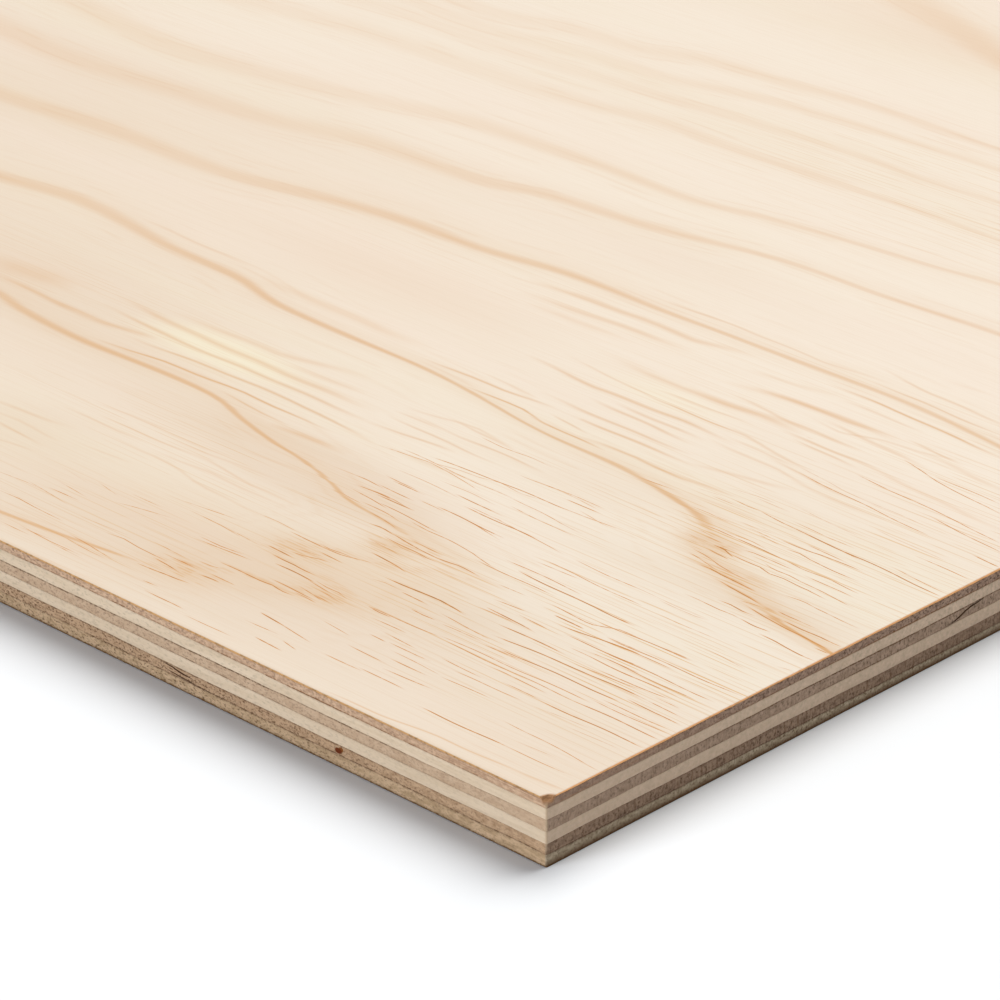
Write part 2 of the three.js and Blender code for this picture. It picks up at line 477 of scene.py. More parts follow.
def closed_piece(bm, name):
    """Closes a mesh's open ends and makes it an object. Only its lids, with their many points, stay flat."""
    bmesh.ops.holes_fill(bm, edges=[edge for edge in bm.edges if edge.is_boundary], sides=0)
    bmesh.ops.recalc_face_normals(bm, faces=bm.faces)
    for face in bm.faces:
        face.smooth = len(face.verts) <= 4
    mesh = bpy.data.meshes.new(name)
    bm.to_mesh(mesh)
    bm.free()
    piece = bpy.data.objects.new(name, mesh)
    bpy.context.scene.collection.objects.link(piece)
    return piece


def dress(piece, ply, material):
    """Gives a piece its finish and lets it stand for its ply."""
    piece.data.materials.append(material)
    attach(piece, "root")
    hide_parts(ply)


# ---------------------------------------------------------------- growth rings in the face

# Lines of late wood: a ring's number, and points on it as distance along and across.
RING_LINES = (
    (0, ((1000, 40), (1500, 30))),
    (0.2, ((600, 50),)),
    (0.62, ((230, 52), (300, 50))),
    (
        1,
        (
            (202, 11), (183, 13), (153, 17), (142, 20), (150, 23), (137, 29), (117, 33), (107, 36),
            (130, 42), (137, 47), (130, 55), (107, 60), (100, 69), (128, 75), (147, 78), (167, 85),
            (183, 88), (200, 92), (213, 96), (233, 97), (267, 96), (300, 99), (307, 101), (400, 98),
            (600, 88), (900, 60), (1100, 35),
        ),
    ),
    (
        2,
        (
            (373, 158), (343, 162), (300, 157), (267, 155), (250, 151), (217, 149), (183, 148), (150, 143),
            (133, 141), (107, 140), (90, 137), (67, 130), (60, 118), (33, 108), (17, 102), (0, 99),
            (600, 150), (900, 110), (1300, 95), (1800, 120), (2440, 90),
        ),
    ),
    (1.5, ((200, -14), (120, -6), (60, 10), (0, 28))),
    (
        3,
        (
            (423, 202), (373, 206), (333, 206), (300, 212), (267, 217), (233, 218), (207, 222), (167, 222),
            (117, 222), (67, 221), (43, 218), (600, 200), (900, 185), (1300, 160), (1800, 190), (2440, 165),
        ),
    ),
    (
        4,
        (
            (463, 240), (433, 238), (383, 242), (350, 245), (317, 253), (267, 255), (250, 260), (217, 263),
            (183, 269), (167, 272), (133, 272), (90, 274),
        ),
    ),
    (
        5,
        (
            (470, 273), (445, 269), (420, 267), (380, 271), (340, 278), (307, 286), (280, 287), (253, 288),
            (228, 287), (213, 287), (193, 291), (172, 294), (131, 298), (112, 301), (650, 270), (1000, 260),
            (1500, 240), (2000, 265), (2440, 250),
        ),
    ),
    (
        6,
        (
            (432, 312), (381, 319), (343, 319), (312, 320), (285, 322), (264, 326), (238, 325), (200, 326),
            (155, 327), (132, 326),
        ),
    ),
    (7, ((375, 339), (300, 341), (249, 345), (218, 347), (195, 347), (170, 346), (150, 348), (0, 335))),
    (8, ((366, 347), (320, 352), (287, 355), (263, 361), (241, 364), (219, 366), (180, 367), (150, 368))),
    (
        9,
        (
            (367, 359), (341, 366), (313, 368), (292, 375), (261, 378), (215, 381), (176, 380), (0, 375),
            (600, 372), (1000, 360), (1500, 350), (2000, 385), (2440, 370),
        ),
    ),
    (9.5, ((480, 420), (330, 418), (240, 412), (150, 404))),
    (10, ((500, 470), (340, 468), (284, 462), (271, 458), (249, 451), (223, 439), (190, 428), (0, 425))),
    (10, ((700, 480), (1200, 440), (1800, 470), (2440, 450))),
    (12, ((0, 520), (600, 560), (1200, 520), (1800, 560), (2440, 545))),
    (
        14,
        (
            (2440, 600), (1800, 625), (1200, 610), (800, 640), (520, 690), (800, 760), (1200, 790),
            (1800, 770), (2440, 800),
        ),
    ),
    (12, ((0, 860), (600, 880), (1200, 900), (1800, 880), (2440, 900))),
    (10, ((0, 980), (700, 960), (1300, 985), (1900, 970), (2440, 1000))),
    (8, ((0, 1060), (800, 1050), (1500, 1075), (2440, 1090))),
    (6, ((0, 1150), (800, 1160), (1600, 1170), (2440, 1190))),
)

# How strongly each ring's late wood shows
RING_STRENGTHS = (
    (0, 0.5), (1, 0.95), (2, 0.8), (3, 0.5), (4, 0.34), (5, 0.28), (6, 0.2), (7, 0.17), (8, 0.19),
    (9, 0.22), (9.4, 0.16), (9.6, 0.2), (10, 0.32), (10.4, 0.28), (11, 0.2), (14, 0.4),
)

# Rings run long with the grain, so distances along it count for less
GRAIN_STRETCH = 2.5
RING_SLACK = 0.0002  # how loosely the plate follows the ring lines
FIELD_BATCH = 8000  # points that are worked out at a time

# Rings are taken to lie no closer together and no farther apart than this
NARROWEST_RINGS = 4
WIDEST_RINGS = 160

# How strongly and how wide late wood shows, along and across the face: places, then shares
STRENGTH_ALONG = ((150, 200, 260, 330), (1.0, 0.95, 0.9, 0.58))
STRENGTH_ACROSS = ((170, 240), (1.0, 1.15))
WIDTH_ALONG = ((0, 150, 250, 330, 600), (0.5, 0.5, 1.2, 2.1, 3.2))
WIDTH_ACROSS = ((0, 100, 150, 210, 260, 340, 400, 450), (0.8, 0.8, 1.05, 1.6, 2.1, 1.9, 2.2, 5.0))

# Rings 1 and 2 show stronger beside the end, and are wider between their bends: ring numbers or places, then
# by how much more
INNER_RINGS = ((2.2, 2.7), (1.0, 0.0))
INNER_STRONGER_ALONG = ((0, 60, 100), (0.9, 0.4, -0.1))
INNER_WIDER_ALONG = ((40, 65, 110, 140), (0.0, 0.6, 0.5, 0.0))

RIM_WIDTH = 0.9  # of the darker stretch of face beside the long sides
ARRIS_HEIGHT = 0.2  # over which the face turns into its sawn edge
ARRIS_SHARE = 0.3  # of the arris, at which its round is steepest
BRUISE_LIMIT = 6  # no bruise farther than this from the worn corner

# Fine lines: how far aside they are out of sight, in half widths and at least, and over how many half widths
# they thin out at their ends
FAR_ASIDE = 99.0
REACH = 2.4
LEAST_REACH = 1.4
THINNING = 40
LEAST_THINNING = 3.5
MOST_THINNING = 20

# They wobble a little from side to side, and run on unseen past their ends, more in the coarser mesh
WOBBLE = 0.2
WOBBLE_LENGTH = 4.3
RUN_ON = ((142, 148, 310, 325), (3.0, 9.0, 9.0, 15.0))

# Lines that lie close together go to different layers: how far past each other they still count as side by
# side, and how far apart is far enough
CHECK_LAYERS = 5
BAND_LAYERS = 4
SIDE_BY_SIDE = 12
ROOM_ENOUGH = 30.0

# Half width of a check: the faintest, and how much it widens with its strength
FAINT_CHECK = 0.077
CHECK_WIDENING = 0.0572
STRONGEST_CHECK = 1.4

# Fine brown checks in the sanded face: how strongly each shows, then its points as distance along and across
CHECKS = (
    # At the nose of ring 1
    (1, (155, 15.5), (150, 15.7), (146, 16), (142, 16.2), (139, 16.7)),
    (0.9, (152, 20.1), (149, 19.8), (145, 19.3)), (0.6, (152, 23.7), (147, 23.7), (143, 23.6)),
    (0.5, (149, 23.8), (145, 24)), (0.5, (145, 26.9), (141, 27.1), (138, 28.1)),
    (1.1, (139, 22), (137, 22.3), (135, 22.4)), (0.8, (138, 24.1), (134, 24), (130, 24)),
    (0.9, (141, 30.2), (136, 30.1), (131, 30), (126, 30.1), (123, 30.7), (119, 30.1), (115, 30.2)),
    (0.8, (125, 32.6), (119, 32.5), (114, 32.3), (110, 32.3)), (0.6, (116, 31.8), (112, 31.7), (108, 31.3)),
    (0.7, (117, 34.6), (113, 34), (108, 33.3)), (0.6, (117, 39.6), (112, 39), (108, 39.2), (104, 38.1)),
    (0.5, (113, 36.6), (110, 36.4), (105, 35.8)), (0.6, (111, 34.1), (106, 33.7)),
    (1.1, (139, 45), (135, 44.8), (131, 44.5)),
    (1.1, (135, 42.1), (131, 41.9), (127, 42), (123, 41.7), (120, 41.7)),
    (1.2, (130, 39.3), (126, 39.3), (122, 39.1), (117, 38.7)),
    (0.8, (141, 54), (135, 53.8), (130, 53.9), (122, 54.1), (118, 55.1), (114, 56)),
    (0.6, (131, 54.6), (127, 54.3), (122, 55), (117, 54.9)),
    (0.7, (133, 46.6), (129, 47.1), (125, 48.5), (122, 48.9)), (0.8, (127, 51.4), (124, 51.2), (120, 51)),
    (0.4, (134, 48.6), (130, 49.1), (125, 50.2)), (1, (129, 71.6), (126, 71.9), (122, 71.1)),
    (1.2, (117, 60.1), (112, 59.6), (107, 59.1)), (0.6, (108, 59.3), (105, 58.6)),
    (0.7, (122, 68.7), (117, 68.4), (111, 68.2), (106, 67.5), (102, 67.6)),
    (0.9, (122, 71.1), (115, 70.1), (110, 69.8), (103, 69.5), (97, 70.1), (90, 69.4)),
    (0.4, (125, 65.3), (120, 64.7), (116, 64.4), (111, 63.7)),
    (0.35, (119, 68.3), (114, 67.2), (108, 67.4), (104, 66.6)),
    (1.6, (104, 53.1), (98, 53.1), (92, 53.2), (87, 53.3), (81, 52.9), (79, 52.6)),
    (0.4, (108, 49.9), (104, 50.7), (98, 50.6)), (0.9, (89, 45.3), (85, 45.1), (81, 45.3)),
    (0.9, (97, 38.9), (94, 38.5), (90, 38.7)), (1.2, (113, 18.3), (106, 17.5)),
    (0.8, (146, 10.1), (144, 10.2)), (0.8, (143, 6.8), (138, 6.7), (133, 6.6), (129, 6.4)),
    (0.7, (154, 36.4), (148, 36.4), (141, 37.1)),
    (0.6, (124, 79.7), (116, 78.6), (109, 78.5), (100, 77.7), (89, 75.1)),
    # At the nose of ring 2
    (0.7, (68, 130), (64, 130), (58, 129.6)), (1.1, (58, 129.6), (53, 129.5), (49, 129.5), (42, 129.2)),
    (0.7, (42, 129.2), (34, 128), (26, 128.7), (16, 127.9)),
    (0.7, (53, 125.9), (50, 126.5), (45, 126.4), (39, 126.4), (36, 126.5)),
    (0.7, (44, 124.4), (40, 123.4), (35, 123.5), (30, 122.6), (22, 122.1), (13, 121.3)),
    (
        0.8, (53, 122.2), (48, 121.9), (43, 121.8), (39, 120.5), (35, 120.9), (29, 120.5), (26, 120.6),
        (20, 120),
    ),
    (0.6, (29, 114.7), (23, 115.3), (18, 114.4), (10, 113.7), (4, 113.7)),
    (0.9, (49, 136.7), (44, 136.9), (40, 137.1), (37, 137.5), (29, 137.5), (24, 137.5)),
    (0.8, (45, 133.9), (41, 134.2), (37, 133.4), (30, 133), (25, 133), (20, 132.9)),
    (0.8, (64, 145.6), (57, 144.8), (51, 144.2), (42, 143.2), (35, 142.9), (28, 142.5)),
    (0.5, (54, 147.1), (48, 146.8), (41, 146), (33, 146)), (0.6, (73, 145.8), (68, 145.4), (64, 145.6)),
    (1.1, (59, 122.9), (56, 122.9), (52, 121.4)),
    (0.7, (62, 117.8), (59, 117.4), (55, 116.5), (51, 115.3), (45, 114.5), (40, 114.2)),
    (1.2, (54, 112.3), (51, 112.4), (47, 111.8), (44, 111.7), (40, 111.6), (36, 111.2)),
    (0.6, (62, 115.6), (59, 115.2), (55, 114.4), (50, 113.2)),
    (1, (45, 109.2), (41, 108.3), (37, 107.7), (33, 107.2), (30, 106.7)),
    (1.1, (38, 101.3), (34, 101.5), (31, 100.9), (28, 101)),
    (0.7, (46, 98.1), (42, 98.1), (35, 97.4), (31, 97.6), (28, 97.3)),
    (1, (27, 97.4), (23, 96.9), (19, 97.3)), (1.1, (19, 94.6), (14, 94.4), (9, 93.8), (4, 93.4), (1, 93.5)),
    (0.9, (31, 103.5), (26, 102.7), (21, 102.1), (16, 101.3), (11, 100.9), (7, 100.3), (2, 100.1)),
    (0.9, (24, 106.8), (21, 106.5), (17, 106.5)), (0.4, (17, 106.5), (11, 106.4)),
    (1.1, (20, 104.2), (17, 104), (13, 103.6), (8, 103.6), (4, 103.2), (1, 103.3)),
    (0.7, (4, 98.5), (1, 98.5)), (0.4, (49, 91.2), (44, 90.9), (37, 90.7), (33, 91.3)),
    (0.35, (44, 85.7), (37, 85.1), (29, 85.2), (23, 85.5)), (0.6, (32, 72.9), (27, 73.1), (22, 73.2)),
    (0.4, (24, 79.8), (18, 79.7), (10, 78.9)), (0.4, (79, 135.5), (73, 135.8), (67, 135.2), (63, 135.8)),
    (0.4, (64, 137.7), (59, 137.5), (53, 138.2)),
    # Between the loops of ring 1
    (0.6, (116, 72), (105, 71.5)), (0.7, (117, 38.4), (110, 37.6)),
    # Between the nose and the long side
    (0.8, (97, 50.1), (89, 49.9)), (0.7, (98, 38.9), (74, 39.7)), (0.7, (92, 35.4), (81, 35.4)),
    (0.7, (85, 32.2), (73, 31.2)), (0.7, (86, 28.9), (81, 28.7)), (0.8, (80, 29.1), (67, 29.2)),
    (0.7, (86, 21.3), (74, 21.1)), (0.7, (87, 14.2), (75, 14.3)), (0.7, (76, 15.2), (61, 14.7)),
    (0.5, (100, 25.9), (90, 25)), (0.6, (108, 17.7), (101, 16.8), (94, 16)),
    (0.5, (113, 13.1), (103, 13.4)), (1, (105, 8.6), (97, 8.1)), (0.6, (99, 11.8), (94, 10.9)),
    (0.8, (73, 23.5), (62, 23.5)), (0.5, (77, 26.7), (60, 25.8)), (0.7, (71, 18.7), (56, 19.6)),
    (0.5, (126, 4.7), (110, 4.7)), (0.6, (180, 14.4), (161, 12.5)), (0.5, (180, 7.8), (168, 7.5)),
    (0.4, (190, 8.5), (181, 9.3)),
    # Middle of the near corner
    (0.7, (96, 75.4), (70, 74.6)), (0.7, (91, 80.9), (65, 80.1)), (1.1, (84, 78.3), (61, 77.2), (45, 76.8)),
    (0.5, (86, 85.1), (70, 85.9)), (0.6, (84, 87.3), (50, 85.7)), (0.5, (79, 92.6), (56, 91.8)),
    (0.5, (83, 69.8), (74, 69.9)), (0.7, (77, 63.2), (68, 63.8)), (1.1, (76, 58.9), (60, 57.5)),
    (0.6, (78, 57.6), (65, 57.6)), (0.7, (68, 61.5), (58, 60.8)),
    (0.8, (66, 70.8), (52, 70.1), (45, 72.7), (38, 72.6)), (1.5, (61, 67.3), (53, 67)),
    (1.1, (57, 64.5), (33, 66.8)), (0.6, (45, 67.8), (34, 68)), (1.1, (67, 54.5), (47, 54.3)),
    (1.1, (64, 49.6), (37, 50.8), (18, 50.9)), (0.8, (52, 61.7), (28, 62)), (0.7, (47, 57.5), (24, 57)),
    (0.6, (44, 59.1), (26, 59.6)), (1.1, (58, 45.4), (21, 45.8)), (0.7, (63, 44.4), (52, 44.7)),
    (0.6, (82, 48.5), (64, 47.3)), (0.5, (79, 44.9), (65, 45.1)), (0.6, (74, 40.4), (26, 40.8)),
    (0.6, (71, 38.9), (28, 38.7)), (0.6, (54, 37.2), (35, 37)), (0.6, (66, 32.2), (52, 31.8)),
    (0.6, (59, 25.5), (43, 25.7)), (0.5, (59, 29.6), (37, 30.3)), (0.6, (46, 33.7), (34, 33.3)),
    (0.7, (40, 52.1), (21, 53.7)),
    # Beside the end
    (0.3, (70, 92.1), (34, 91.6)), (0.5, (55, 76.9), (45, 76.9)), (0.8, (51, 72.2), (22, 73)),
    (0.8, (43, 67.6), (1, 67.8)), (0.7, (45, 65.9), (22, 66.7)), (0.8, (41, 61.8), (5, 61.2)),
    (0.7, (39, 59.4), (8, 58.7)), (0.7, (37, 57.2), (12, 57.1)), (0.7, (34, 53.7), (12, 55)),
    (0.6, (31, 51.1), (16, 50.8)), (0.7, (33, 105), (30, 105.5)), (0.3, (5, 85.1), (1, 85.9)),
    # At the worn corner
    (1, (51, 11.2), (24, 11.4)), (0.5, (24, 11.4), (4, 11.9)), (0.3, (31, 30.2), (16, 31.4)),
    (0.3, (22, 28.4), (4, 28.7)), (1, (33, 33.1), (1, 33.2)), (1, (28, 38.7), (1, 38.7)),
    (0.6, (25, 41.9), (1, 41.9)), (0.7, (23, 43.6), (3, 43.8)), (1, (19, 48.1), (2, 47.1)),
    (0.7, (16, 50.7), (5, 50.4)), (0.7, (14, 53.3), (8, 53.1)), (0.5, (33, 20.1), (20, 19.5), (1, 18.1)),
    (0.3, (24, 15.1), (12, 15.6)),
    # Farther along the end
    (0.3, (74, 172.3), (57, 169.5), (29, 168.2)), (0.7, (71, 169.4), (57, 167.7), (25, 164.6)),
    (0.3, (58, 153.8), (37, 152)), (1.1, (49, 143.8), (16, 142), (1, 140.6)),
    (0.7, (43, 139.3), (30, 138.9)), (0.7, (32, 126.1), (16, 125.3)), (0.6, (19, 144.5), (1, 142.8)),
    (0.3, (36, 158.1), (12, 156.4)), (0.6, (19, 153.7), (1, 152.6)), (1.1, (9, 163.9), (1, 163.2)),
    (0.7, (57, 194.4), (44, 190.5), (19, 186.7)), (0.6, (45, 192.3), (23, 191.3)),
    (0.7, (60, 178.9), (24, 175.9), (9, 173.6)), (0.7, (31, 173.2), (5, 169.7)),
    # Between rings 1 and 2
    (0.5, (161, 105.4), (145, 107.6), (123, 104.3)), (0.8, (146, 110), (130, 111.4), (99, 112)),
    (0.5, (118, 118.6), (93, 119.1)), (0.8, (104, 116.3), (93, 116.2)), (0.9, (124, 90.2), (101, 89.2)),
    (0.9, (126, 98.8), (110, 97.8)), (0.9, (119, 95.1), (94, 94.3)), (1, (140, 84.4), (128, 84.5)),
    (0.8, (144, 88.9), (132, 88.4)), (0.8, (143, 93), (133, 92.7)), (0.7, (137, 81.5), (114, 79.9)),
    (0.5, (112, 103.4), (88, 101.9)), (0.4, (97, 113.7), (86, 112)), (0.6, (99, 138.6), (87, 139.7)),
    # Dashes where ring 1 bends back
    (0.7, (157, 88.4), (149, 88.7), (142, 88.2)), (0.9, (148, 84.8), (142, 85.1), (135, 85)),
    (0.6, (147, 94), (142, 93.7), (136, 93.5)), (0.7, (148, 82.3), (140, 81.7), (133, 80.5)),
    (0.7, (140, 78.7), (132, 78.7), (126, 77.7)), (0.6, (135, 76.1), (128, 75.1), (123, 73.8)),
    (0.5, (149, 78.9), (143, 78.1), (140, 77.9)), (0.5, (144, 85.4), (136, 85.3), (129, 84.4)),
    # Dashes where ring 2 bends back
    (0.9, (58, 120.1), (52, 119.6)), (0.6, (64, 125.4), (59, 125.2)),
    (0.5, (63, 130.8), (54, 131), (48, 130.3)), (0.5, (55, 135.3), (48, 134.5)),
    (0.5, (60, 136.4), (50, 135.8)), (0.4, (68, 126.9), (63, 126.4)), (0.4, (60, 120.6), (57, 120.3)),
    (0.4, (68, 123.1), (63, 122.6)),
    # Long thin lines between the two noses
    (0.35, (78, 150.3), (70, 151.6), (64, 151.8)), (0.35, (70, 150.7), (58, 150.5)),
    (0.4, (79, 143.6), (69, 143.8)), (0.3, (84, 144.5), (77, 145.4)),
    (0.5, (146, 127.5), (138, 127.2), (128, 127.9), (120, 127.1)),
    (0.4, (145, 107.6), (136, 109.6), (129, 109.8), (123, 111.3), (115, 110.6), (109, 111.6)),
    (0.5, (102, 111.8), (89, 112.6), (82, 112.8)),
    (0.5, (154, 108.2), (138, 107.8), (126, 106.8), (115, 107.1)),
    (0.5, (115, 107.1), (104, 106.2), (96, 105.1), (87, 104.6)),
    (0.6, (124, 90.1), (116, 89.9), (109, 89.4), (100, 87.6)), (0.5, (131, 89.8), (121, 89.3)),
    (0.5, (119, 95.8), (108, 95.8), (99, 94.4), (84, 93.2)), (0.4, (147, 98.8), (135, 98.3), (124, 97.8)),
    (0.4, (123, 118.3), (109, 118.6), (94, 117.7)), (0.4, (135, 101.8), (124, 101.7), (115, 101.1)),
    # Thin lines beside the long side
    (0.6, (212, 18.5), (204, 19), (188, 18.1)), (0.35, (220, 25.9), (213, 26.7), (205, 26.4)),
    (0.6, (208, 27.1), (197, 25.8)), (0.7, (202, 28.7), (194, 28.8)), (0.5, (205, 32.7), (194, 31.7)),
    (0.6, (205, 38.2), (199, 37.4)), (0.5, (184, 35.2), (178, 36.9), (170, 38.2)),
    (0.5, (185, 41), (177, 41)), (0.5, (175, 47.1), (168, 47.9), (155, 49.9)),
    (0.5, (168, 44.9), (159, 44.7), (148, 43.2)), (0.7, (154, 35.1), (145, 35.6), (137, 36.1)),
    (0.6, (174, 21.4), (170, 22.2), (161, 21.5), (152, 21.4)), (0.5, (159, 26.2), (149, 25.6)),
    (0.4, (197, 39.5), (187, 37.6)), (0.4, (182, 23.4), (173, 24)),
    (0.5, (193, 9.1), (181, 8.4), (171, 8.3)), (0.5, (198, 7.1), (187, 7.1)),
    (0.5, (181, 12.4), (173, 11.8), (165, 11.6)), (0.4, (157, 55.6), (147, 56.1), (139, 55.3)),
    (0.4, (153, 44.2), (141, 43.6)),
)

# Soft bands of late wood between the rings: how strongly each shows, its half width, then its points
BANDS = (
    # Loose ends of rings 1 and 2
    (0.6, 0.35, (141, 30.5), (130, 30.1), (121, 30.8), (109, 31.7)),
    (0.3, 0.4, (106, 69), (100, 69.7), (93, 69.6), (82, 69.3)),
    (0.6, 0.4, (33, 103.7), (26, 102.7), (21, 102.1), (16, 101.3), (11, 100.9), (7, 100.3), (2, 100.1)),
    # Fanning out from ring 1
    (0.98, 0.47, (262, 99.6), (243, 102), (212, 103.4), (182, 102.5)),
    (0.72, 0.61, (256, 106.7), (226, 108.5), (199, 108.8), (169, 106.4)),
    (0.59, 0.81, (275, 116), (248, 114), (208, 114.4), (177, 113.8)),
    (0.52, 1.22, (279, 122.7), (251, 120.4), (212, 119.6), (183, 119.6)),
    (0.36, 1.35, (259, 126.5), (222, 127.5), (197, 133)), (0.52, 1.22, (274, 108.1), (258, 110.2)),
    (0.29, 1.08, (212, 124.5), (191, 125.5)), (0.65, 0.41, (212, 99.4), (192, 97.5)),
    (0.59, 1.22, (185, 95.4), (171, 96)), (0.39, 1.08, (291, 108.6), (274, 108.1)),
    (0.39, 4.32, (330, 115.5), (300, 118)), (0.52, 1.22, (318, 109.8), (281, 107.5)),
    (0.39, 0.47, (234, 64), (212, 63.9)), (0.39, 0.47, (224, 66.9), (189, 67.6)),
    (0.33, 0.47, (229, 72), (207, 73.7)),
    # Beside ring 2
    (0.33, 1.89, (260, 160), (240, 159), (200, 158)), (0.33, 0.68, (317, 165.3), (276, 163.4)),
    (0.78, 0.54, (187, 152.8), (162, 153.1), (149, 154)),
    (1, 0.41, (166, 147.7), (152, 148.5), (142, 145.7)), (1, 0.41, (142, 145.7), (121, 144.4)),
    (0.39, 0.54, (166, 156.8), (157, 155.9)), (0.72, 0.61, (122, 146.5), (108, 147), (92, 145.4)),
    (0.59, 0.41, (138, 150.2), (132, 149.3)), (0.39, 0.41, (170, 123.6), (161, 123.7)),
    (0.52, 0.47, (169, 120), (136, 118.7)), (0.59, 0.54, (168, 114.2), (149, 116)),
    (0.59, 0.47, (146, 124.3), (124, 124)), (0.45, 0.47, (155, 130), (138, 128.4)),
    # Between rings 2 and 3
    (0.59, 0.68, (147, 158.7), (124, 158), (103, 158)), (0.65, 0.68, (135, 154), (100, 153.8)),
    (0.59, 0.68, (137, 165.1), (108, 163.3)), (0.52, 0.68, (130, 167.6), (108, 167)),
    (0.65, 0.81, (168, 173.5), (146, 171.3), (115, 172.1), (99, 171.2)),
    (0.39, 0.47, (161, 180.8), (128, 177)), (0.85, 0.41, (128, 177), (98, 176.5)),
    (0.39, 0.54, (130, 182), (104, 183)), (0.39, 1.35, (154, 188.7), (129, 187), (94, 189.2)),
    (0.26, 1.22, (193, 199.3), (167, 200)), (0.45, 1.35, (198, 204.3), (161, 206.5), (147, 206.5)),
    (0.52, 1.35, (205, 212), (168, 213.6), (147, 213), (132, 216)),
    (0.26, 0.94, (119, 209.1), (101, 211.3)), (0.52, 1.08, (110, 202), (83, 202.2), (71, 203)),
    (0.52, 0.81, (96, 191.3), (74, 191)), (0.65, 0.54, (87, 185.6), (63, 185.4)),
    (0.52, 0.47, (82, 183.7), (68, 182.4)), (0.45, 0.81, (84, 198.3), (54, 195)),
    (0.45, 0.68, (99, 177), (74, 172.5)), (0.39, 0.54, (95, 172.5), (79, 171.8)),
    (0.39, 0.54, (88, 211.4), (69, 211.1)), (0.52, 0.47, (60, 204), (49, 203)),
    (0.91, 0.54, (98, 217), (76, 216), (41, 213)),
    # Beyond ring 3
    (0.4, 0.5, (173, 227), (144, 228), (113, 226.7), (95, 228)), (0.6, 0.4, (91, 226), (50, 223.5)),
    (0.5, 0.6, (94, 233.5), (79, 231), (54, 229.4)), (0.25, 0.8, (77, 241), (60, 242)),
    # Beside the long side, thinning out towards the corner
    (0.7, 0.3, (73, 1.2), (55, 2.1), (38, 3.9), (12, 4.8)), (0.5, 0.3, (12, 5.2), (1, 5.8)),
    (0.3, 0.3, (12, 4.8), (2, 5.2)), (0.2, 0.3, (32, 7.2), (16, 7.1)),
    # At the end
    (0.8, 0.35, (58, 113), (36, 111.2)), (0.5, 0.25, (54, 114.7), (40, 114)),
    (0.9, 0.35, (45, 109), (30, 107)), (0.25, 0.8, (67, 164.5), (45, 163)),
    (0.3, 0.8, (66, 185.4), (30, 181.2), (13, 179.6)), (0.3, 0.9, (51, 200.7), (28, 198)),
    # Left of the nose of ring 1
    (0.35, 0.7, (253, 54), (245, 54.4), (238, 55.2), (233, 55.9)),
    (0.3, 0.6, (248, 49.5), (242, 49.8), (233, 49.4), (227, 48.9)), (0.45, 0.5, (242, 45.5), (231, 44.4)),
    (0.3, 0.5, (235, 38.5), (227, 39.9)),
    (0.35, 0.5, (214, 60.4), (204, 60), (196, 60), (188, 59.1), (177, 56.6), (159, 55.5)),
    (0.4, 0.5, (190, 68.4), (179, 67.2), (169, 66), (155, 65.8)), (0.3, 0.4, (215, 52.1), (202, 52.8)),
    (0.35, 0.5, (197, 62.5), (188, 62.9), (179, 63.4), (169, 63), (154, 62.9)),
    (0.25, 0.5, (208, 72.4), (192, 72.2), (186, 73.4)), (0.3, 0.5, (200, 70.2), (178, 71.6), (168, 72.5)),
    (0.25, 0.6, (183, 79.2), (161, 80.5)),
    # Beyond ring 2, thinning out towards the end
    (0.45, 0.55, (79, 170.5), (71, 169.1), (63, 167.8), (56, 167.3)),
    (0.4, 0.6, (98, 168.2), (83, 167.3), (76, 167), (68, 165.5)),
    (0.35, 0.9, (93, 154.7), (84, 156.5), (69, 160.1)),
    (0.4, 1.4, (123, 188.3), (112, 188.2), (102, 189), (91, 188.4)),
    (0.45, 1.2, (119, 199.6), (102, 201.8), (90, 202.9), (79, 202.7), (70, 202.1)),
    (0.4, 0.7, (112, 193.3), (102, 192.3), (90, 190.7)),
    (0.35, 0.6, (90, 196.8), (80, 195.7), (70, 199.3), (57, 200.9), (49, 203.6)),
    (0.35, 0.45, (93, 145.5), (86, 146.7), (76, 147.2)), (0.4, 0.5, (99, 145.7), (89, 146.7), (82, 147.5)),
    (0.3, 0.5, (80, 141), (71, 141.6), (64, 141.2)), (0.35, 0.6, (168, 127.6), (153, 131), (141, 129.4)),
    (0.3, 0.5, (166, 124.9), (153, 123.8), (143, 124)),
    (0.35, 0.5, (155, 106.4), (140, 106.8), (130, 107.2)),
)

# Where late wood that crosses the grain frays into dashes: centre along and across, half length, half width,
# and how much
FRAYED_PATCHES = ((120, 46, 36, 26, 1), (94, 66, 22, 13, 0.9), (46, 118, 34, 17, 1), (145, 22, 16, 10, 1))

# Soft smudges where rings 1 and 2 bend back: centre along and across, half length and half width, and how
# deep
SMUDGES = (
    (144, 21, 8, 3.8, 1), (110.5, 36, 7.5, 3.4, 1), (130, 48.5, 9, 3.4, 1), (116, 66, 8, 5.6, 1),
    (60, 123, 9, 4.3, 0.9), (44, 114.5, 11, 3.5, 0.65), (25, 106, 14, 3.5, 0.4),
)

# Bundles of fine brown fibres: centre along and across, half length and half width, and how dense
BUNDLES = (
    (230, 117, 45, 12, 0.15), (130, 182, 45, 13, 0.2), (100, 223, 60, 9, 0.2), (45, 132, 60, 26, 0.6),
    (36, 62, 58, 36, 0.8), (20, 185, 50, 30, 0.5), (190, 20, 60, 25, 0.2), (200, 75, 60, 14, 0.3),
    (150, 60, 60, 60, 0.15), (160, 340, 90, 35, 0.35), (300, 130, 60, 25, 0.2), (200, 205, 90, 14, 0.15),
)

